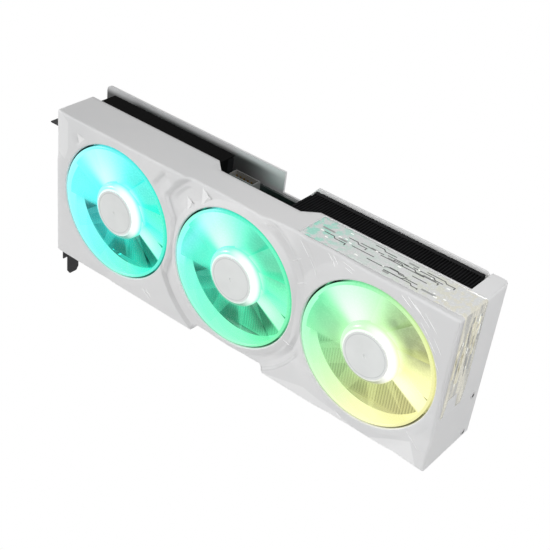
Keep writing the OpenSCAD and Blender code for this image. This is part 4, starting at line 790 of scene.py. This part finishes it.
panelPaint = dict(
    mint=(0.36, 0.78, 0.64), pale=(0.66, 0.73, 0.69), cream=(0.74, 0.72, 0.62), toPale=(193.65, 235.65),
    toCream=(240.65, 300.65), milk=(0.72, 0.73, 0.725), glow=0.05, end=(304.45, 304.85),
    endTones=((0.46, 0.46, 0.43), (0.82, 0.79, 0.66)), streak=(1, 1, 0.14))
panelMaterial, at = newMaterial("milkyPanel")
x, y, z = at.inMm()
cloud, fine, blot = at.noise(140, 3), at.noise(900), at.noise(210)
streak = at.stretched(panelPaint["streak"]).noise(260)
hue = x.step(*panelPaint["toPale"]).mix(panelPaint["mint"], panelPaint["pale"])
hue = x.step(*panelPaint["toCream"]).mix(hue, panelPaint["cream"])
endWall, endTone = x.step(*panelPaint["end"]), streak.step(0.36, 0.64).mix(*panelPaint["endTones"])
at.paint(Base=endWall.mix(blot.step(0.42, 0.6).mix(panelPaint["milk"], hue), endTone),
         Roughness=fine.graded(0.18, 0.3), Glow=hue, GlowStrength=panelPaint["glow"],
         Normal=(cloud * 0.5 + streak * endWall).bump(0.1, 0.35))
panelMesh = joinSheets("milkyPanel", [(flatSkin, panelQuads)])
addPiece("milkyPanel", panelMesh, panelMaterial, stands=["corner_panel"],
         wall=panel["wall"])

# print on the panel: traces with a jog, bars, plates, and bright chips that are painted highlights, strewn by
# a seed
trace = dict(
    seed=23, sink=0.3, top=(200, 299, 7, 26.6), end=(52, 103, 6.6, 26.8), firstRun=(0.25, 0.7), hookRun=2.2)


def ribbon(path, width, top, ground, onEnd):
    # a closed flat bar along a path of (run, across) points, with mitred corners, on the top or the end wall
    path = np.asarray(path, float)
    step = np.diff(path, axis=0)
    step = step / np.linalg.norm(step, axis=1)[:, None]
    side = np.column_stack([-step[:, 1], step[:, 0]])
    before, after = np.vstack([side[:1], side]), np.vstack([side, side[-1:]])
    mitre = (before + after) / (1 + np.sum(before * after, axis=1))[:, None] * width / 2
    rails = [(path + mitre, top), (path + mitre, ground), (path - mitre, ground), (path - mitre, top)]
    points = np.stack([grid(*q.T, level) for q, level in rails], axis=1)
    n = len(path)
    lids = np.array([(0, 1, 2, 3), (4 * n - 1, 4 * n - 2, 4 * n - 3, 4 * n - 4)])
    quads = np.concatenate([gridQuads(n, 4, wrapCols=True), lids])
    if onEnd:
        points, quads = points[..., [2, 1, 0]], quads[:, ::-1]
    return points.reshape(-1, 3), quads


def strewn(draw, area, count, length, jog=0, hook=0):
    # paths on a 45 degree lattice: a straight run, a slanted jog, a second run and now and then a hook
    paths = []
    for k in range(count):
        run = draw.uniform(*length)
        u, v = draw.uniform(area[0], area[1] - run), draw.uniform(area[2], area[3])
        turn = draw.choice([-1, 1]) * jog
        if not area[2] < v + turn < area[3]:
            turn = -turn
        first = run * draw.uniform(*trace["firstRun"])
        path = [(u, v), (u + first, v), (u + first + jog, v + turn), (u + run, v + turn)]
        if jog == 0:
            path = [(u, v), (u + run, v)]
        if draw.random() < hook:
            path.append((u + run, np.clip(v + turn * trace["hookRun"], area[2], area[3])))
        paths.append(path)
    return paths


def flatMaterial(name, low, high, glow):
    material, at = newMaterial(name)
    grain = at.noise(1500)
    tone = grain.graded(low, high)
    at.paint(Base=tone, Roughness=grain.graded(0.3, 0.4), Glow=tone, GlowStrength=glow)
    return material


prints = dict(  # runs: the wall, the width of the bars, and what strewn takes
    darkTraces=dict(tones=((0.03, 0.032, 0.03), (0.07, 0.072, 0.07)), glow=0, level=0.04, runs=[
        ("top", 0.62, dict(count=11, length=(10, 26), jog=1.6, hook=0.55)),
        ("top", 0.6, dict(count=5, length=(8, 18))),
        ("end", 0.4, dict(count=7, length=(6, 18), jog=1, hook=0.3))]),
    greyPlates=dict(tones=((0.3, 0.31, 0.3), (0.4, 0.41, 0.4)), glow=0, level=0.02, runs=[
        ("top", 1.5, dict(count=8, length=(4, 10))), ("end", 1.9, dict(count=7, length=(4, 11)))]),
    # painted highlights: small bright glinting chips
    paintedGlintChips=dict(tones=((0.88, 0.9, 0.86), (0.97, 0.98, 0.94)), glow=0.25, level=0.06, runs=[
        ("top", 0.9, dict(count=16, length=(0.8, 2.4))), ("end", 0.8, dict(count=9, length=(2, 7)))]),
    creamBars=dict(tones=((0.74, 0.71, 0.56), (0.86, 0.83, 0.69)), glow=0.1, level=0.3, runs=[
        ("end", 1.2, dict(count=9, length=(9, 26), jog=0.8))]))
draw = np.random.default_rng(trace["seed"])
for name, layer in prints.items():
    bars = []
    for side, width, settings in layer["runs"]:
        onEnd = side == "end"
        face = length if onEnd else height
        paths = strewn(draw, trace[side], **settings)
        bars += [ribbon(q, width, face + layer["level"], face - trace["sink"], onEnd) for q in paths]
    mesh = joinSheets(name, bars, weld=0, sharp=20)
    addPiece(name, mesh, flatMaterial(name, *layer["tones"], layer["glow"]))
print("panel ready")


# fans: ring, rounded hub and cambered blades in clear plastic, lit from the hub

rotor = dict(
    blades=11, segments=132, ringIn=43, ringOut=44.8, ringFront=0.2, ringBack=12.6, ringRound=0.5, hub=19.5,
    hubTop=15.3, hubFront=0.8, hubSlope=5, hubBack=12.4, cup=16.62, floor=3.2, floorEdge=15, boss=4,
    bossBack=5.2, bore=1.52, root=18.6, tip=43.5, bladeFront=2, bladeBack=12, chord=22, sag=2, thick=1.2,
    thinEdge=0.04, flare=1.45, rootRise=0.66, bladeRows=16, bladeColumns=15)


def turnedSheet(centre, profile, segments):
    # a closed profile of (radius, depth) pairs carried round the fan's axis
    angle = np.linspace(0, 2 * np.pi, segments, endpoint=False)
    r, y = np.asarray(profile, float).T[..., None]
    points = grid(centre[0] + r * np.cos(angle), y, centre[1] + r * np.sin(angle))
    return sheet(points, wrapRows=True, wrapCols=True)


def ringProfile():
    # a rectangle with small quarter rounds at its corners
    q = rotor["ringRound"]
    a, b = rotor["ringIn"] + q, rotor["ringOut"] - q
    c, d = rotor["ringFront"] + q, rotor["ringBack"] - q
    corners = [(b, c, 270), (b, d, 0), (a, d, 90), (a, c, 180)]
    arcs = [(x, y, np.radians([0, 30, 60, 90]) + math.radians(start)) for x, y, start in corners]
    return np.concatenate([np.column_stack([x + q * np.cos(t), y + q * np.sin(t)]) for x, y, t in arcs])


def hubProfile():
    # the skirt is a quarter ellipse from the cap's rim to the hub's side, then the cup inside with its boss
    t = np.radians(np.linspace(0, 90, 10))
    skirt = np.column_stack([rotor["hubTop"] + (rotor["hub"] - rotor["hubTop"]) * np.sin(t),
                             rotor["hubFront"] + (rotor["hubSlope"] - rotor["hubFront"]) * (1 - np.cos(t))])
    inside = [("hub", "hubBack"), ("cup", "hubBack"), ("cup", "bossBack"), ("floorEdge", "floor"),
              ("boss", "floor"), ("boss", "bossBack"), ("bore", "bossBack"), ("bore", "hubFront")]
    return np.concatenate([skirt, [(rotor[r], rotor[y]) for r, y in inside]])


def bladeSheet(centre, turnBy):
    # each row lies on a cylinder round the axis, so that root and tip end inside hub and ring; across the
    # chord the blade bows forward, with a closed section that thins at both edges
    v = np.linspace(-1, 1, rotor["bladeColumns"])
    r = np.linspace(rotor["root"], rotor["tip"], rotor["bladeRows"])
    rise, chord = rotor["bladeBack"] - rotor["bladeFront"], rotor["chord"]
    slant = math.hypot(rise, chord)
    bow = rotor["sag"] * (1 - v ** 2)
    tangent = chord / 2 * v + bow * rise / slant  # at the hub; the chord grows a little towards the ring
    depth = (rotor["bladeFront"] + rotor["bladeBack"]) / 2 + rise / 2 * v - bow * chord / slant
    thick = rotor["thick"] / 2 * np.sqrt(np.maximum(1 - v ** 4, rotor["thinEdge"]))
    tangentAll = np.concatenate([tangent - thick * rise / slant, (tangent + thick * rise / slant)[::-1]])
    depthAll = np.concatenate([depth + thick * chord / slant, (depth - thick * chord / slant)[::-1]])
    c, s = math.cos(turnBy), math.sin(turnBy)
    off = -tangentAll[None, :] * np.linspace(1, rotor["flare"], len(r))[:, None]
    outward = np.sqrt(r[:, None] ** 2 - off ** 2)
    shallow = np.linspace(rotor["rootRise"], 1, len(r))[:, None]
    depthHere = rotor["bladeBack"] - (rotor["bladeBack"] - depthAll) * shallow
    points = grid(centre[0] + outward * c - off * s, depthHere, centre[1] + outward * s + off * c)
    points, quads = sheet(points, wrapCols=True)
    m, k = len(depthAll), np.arange(len(v) - 1)
    lid = np.stack([k, m - 1 - k, m - 2 - k, k + 1], -1)
    return points, np.concatenate([quads, lid[:, ::-1], lid + (len(r) - 1) * m])


# painted light in the fans: painted highlights and painted shades by degrees clockwise from the left of the
# upper painted highlight, fades by radius in mm, bearings in degrees with the cosine's steps, and one value
# for each fan in the depth of painted shade and in the upper highlight
paintedLightSlant = dict(level=6, lean=(0.6976, 0.8345), start=170)
wheelGlow = dict(
    ring=(42.6, 43), hub=(19.9, 19.4), paintedShadeDepth=(0.18, 0.36, 0.6), upperHighlight=(0.52, 0.58, 0.72),
    cloud=(0.3, 0.62, 0.7, 1.1), solid=((203, 200), (330, 352)), open=0.11, closed=0.94,
    upper=((14, 36), (98, 42)), upperFade=(22, 42, 0, 0.2),
    lower=((168, 195), (203, 199)), lowerFade=(26, 42, 0.4446, 0.2166),
    halo=(15, (-0.1, 0.85)), haloFade=(23.5, 15, 0, 0.8),
    rightShade=((74, 106), (172, 142)), rightFade=(18, 29),
    leftShade=((322, 345), (28, 6)), leftFade=(17, 27, 0, 0.45),
    ringPale=(-150, (-0.2, 0.5)), ringWhite=0.2, ringLevel=0.85,
    skirt=(22, (-0.2, 0.8)), skirtRim=(16.6, 16, 0, 0.85), skirtDeep=(5.6, 1.6, 0.1, 0.97),
    skirtLevel=(100, (-0.6, 0.2, 0.42, 1)), skirtWhite=0.25,
    edge=(44.4, 44.7), edgeDeep=(0.9, 1.6), edgeLeast=0.15, edgeLeft=(143, (0.84, 0.97)),
    edgeRight=(-47, (0.7, 0.96, 0, 0.6)))


def leaning(dx, y, dz):
    # the painted highlights and shades lean: they move left and down as they go back into the fan; gives the
    # radius, the bearing in radians and degrees clockwise from the left of the upper painted highlight
    behind = y - paintedLightSlant["level"]
    lx, lz = dx + behind * paintedLightSlant["lean"][0], dz + behind * paintedLightSlant["lean"][1]
    bearing = dx.math("ARCTAN2", lz, lx)
    return lx.hypot(lz), bearing, dx.math("WRAP", paintedLightSlant["start"] - bearing * (180 / math.pi), 360, 0)


def wheelMaterial(i):
    material, at = newMaterial(f"glowingFan{i + 1}")
    x, y, z = at.inMm()
    dx, dz = x - fanX[i], z - fanZ
    radius, around, hue = dx.hypot(dz), at.math("ARCTAN2", dz, dx), lampHue(x, z)
    r, bearing, turn = leaning(dx, y, dz)
    cloud, grain, glow = at.noise(70), at.noise(700), wheelGlow

    def facing(angle, key):
        # step of the cosine between an angle and the bearing that the settings give
        degrees, steps = glow[key]
        return angle.towards(degrees).step(*steps)

    isRing, isHub = radius.step(*glow["ring"]), radius.step(*glow["hub"])
    # painted highlights: white wedges above and below the hub, and a white halo round it on the blades
    upper = turn.between(*glow["upper"]) * (glow["upperHighlight"][i] - r.step(*glow["upperFade"]))
    lower = turn.between(*glow["lower"]) * r.step(*glow["lowerFade"])
    whiter = upper.most(lower).most(facing(bearing, "halo") * r.step(*glow["haloFade"]))
    # blades let the fins show through on the lower left, and are nearly closed elsewhere
    solid = turn.step(*glow["solid"][0]).most(turn.step(*glow["solid"][1]))
    cover = (solid * (glow["closed"] - glow["open"]) + glow["open"]).most(isRing).most(isHub)
    # painted shade on the blades at the right and the left, in cloudy patches
    left = (turn.step(*glow["leftShade"][0]) + turn.step(*glow["leftShade"][1])) * r.step(*glow["leftFade"])
    shaded = (turn.between(*glow["rightShade"]) * r.step(*glow["rightFade"])).most(left)
    shaded = shaded * glow["paintedShadeDepth"][i] * cloud.step(*glow["cloud"])
    bladeColour = (1 - shaded).mix(black, whiter.mix(hue, white))
    # painted light: the ring is paler and whiter towards the left
    leftward = facing(bearing, "ringPale")
    ringColour = (leftward * (1 - glow["ringLevel"]) + glow["ringLevel"]).mix(black, hue)
    ringColour = (leftward * glow["ringWhite"]).mix(ringColour, white)
    # painted light and shade on the hub's skirt: white towards the right and beside the cap, falling off to
    # the lower left
    bright = facing(around, "skirt").most(radius.step(*glow["skirtRim"]))
    level = facing(around, "skirtLevel")
    hubWhite = (bright.most(level * glow["skirtWhite"]) * y.step(*glow["skirtDeep"])).mix(hue, white)
    colour = isHub.mix(bladeColour, level.most(bright).mix(black, hubWhite))
    # painted shade: dark arcs on the ring's edge at the upper left and the lower right
    edgeShade = facing(around, "edgeLeft").most(facing(around, "edgeRight"))
    edgeShade = edgeShade * (1 - glow["edgeLeast"]) + glow["edgeLeast"]
    edgeShade = edgeShade * radius.step(*glow["edge"]) * y.step(*glow["edgeDeep"])
    at.paint(Base=(0.05, 0.06, 0.06), Roughness=grain.graded(0.2, 0.32), Alpha=cover,
             Glow=edgeShade.mix(isRing.mix(colour, ringColour), black), GlowStrength=1,
             Normal=grain.bump(0.01, 0.3))
    return material


capPaint = dict(
    line=13.6, lineWidth=(0.15, 0.4), lineAmount=0.35, lineColour=(0.4, 0.44, 0.43),
    tones=((0.8, 0.82, 0.81), (0.85, 0.87, 0.86)))


def capMaterial(i):
    # a pale cap with a fine round groove near its rim
    material, at = newMaterial(f"hubCap{i + 1}")
    x, y, z = at.inMm()
    fine, r = at.noise(1800), (x - fanX[i]).hypot(z - fanZ)
    groove = 1 - abs(r - capPaint["line"]).step(*capPaint["lineWidth"])
    tone = at.noise(60).graded(*capPaint["tones"])
    at.paint(Base=(groove * capPaint["lineAmount"]).mix(tone, capPaint["lineColour"]),
             Roughness=fine.graded(0.3, 0.4), Normal=(fine * 0.3 - groove).bump(0.04, 0.6))
    return material


for i, n in enumerate(fanNames):
    profiles = (ringProfile(), hubProfile())
    sheets = [turnedSheet(fanCentres[i], profile, rotor["segments"]) for profile in profiles]
    spokes = np.arange(rotor["blades"]) * 2 * np.pi / rotor["blades"]
    sheets += [bladeSheet(fanCentres[i], t) for t in spokes]
    mesh = joinSheets(f"fan_{n}_wheel", sheets, weld=0.0005)
    addPiece(f"fan_{n}_wheel", mesh, wheelMaterial(i), body=f"fan_{n}",
             stands=[f"fan_{n}_rotor"])
    dress(f"fan_{n}_cap", capMaterial(i))

# painted light of the fans as glow on the fins' front edges, the fan frames and leads, with painted shade in
# dark strokes in the left two fans
spill = dict(
    finishes=dict(finBlack=dict(deep=(24, 18.8), strength=0.75),
                  fanFrame=dict(deep=(30, 18), strength=0.7), lead=dict(deep=(40, 20), strength=0.5)),
    shift=9,  # a fan's light ends this far left of the middle between two fans
    reach=(56, 49), cloud=(0.3, 0.62, 0.35, 1), clear=(180.65, 220.65),
    leftDim=(50.65, 200.65, 0.75, 1), rightDim=(190.65, 230.65, 1, 0.7),
    left=((304, 320), (357, 341)), leftFade=(20, 27),
    bottom=((242, 260), (298, 272)), bottomFade=(22, 29, 0, 0.9), rightBottom=(190.65, 230.65, 0, 0.35),
    under=((200, 206), (242, 214)), underFade=((14, 19), (43, 35)), gloom=(200.65, 170.65))
for finish, settings in spill["finishes"].items():
    at = finishPlace(finish)
    x, y, z = at.inMm()
    dx = x.wrapped(fanX[0] - spill["shift"], fanPitch) - spill["shift"]
    r, bearing, turn = leaning(dx, y, z - fanZ)
    left = turn.between(*spill["left"]) * r.step(*spill["leftFade"])
    bottom = turn.between(*spill["bottom"]) * r.step(*spill["bottomFade"])
    under = turn.between(*spill["under"]) * r.between(*spill["underFade"])
    # painted shade: the dark strokes that take the glow away
    gloom = left.most(bottom).most(under) * x.step(*spill["gloom"])
    lit = at.noise(38).step(*spill["cloud"]).most(x.step(*spill["clear"]))
    lit = lit * x.step(*spill["leftDim"]) * x.step(*spill["rightDim"])
    lit = lit * r.step(*spill["reach"]) * y.step(*settings["deep"])
    lit = lit * (1 - gloom.most(bottom * x.step(*spill["rightBottom"])))
    at.paint(Glow=lit.mix(black, lampHue(x, z)), GlowStrength=settings["strength"])
print("fans ready")
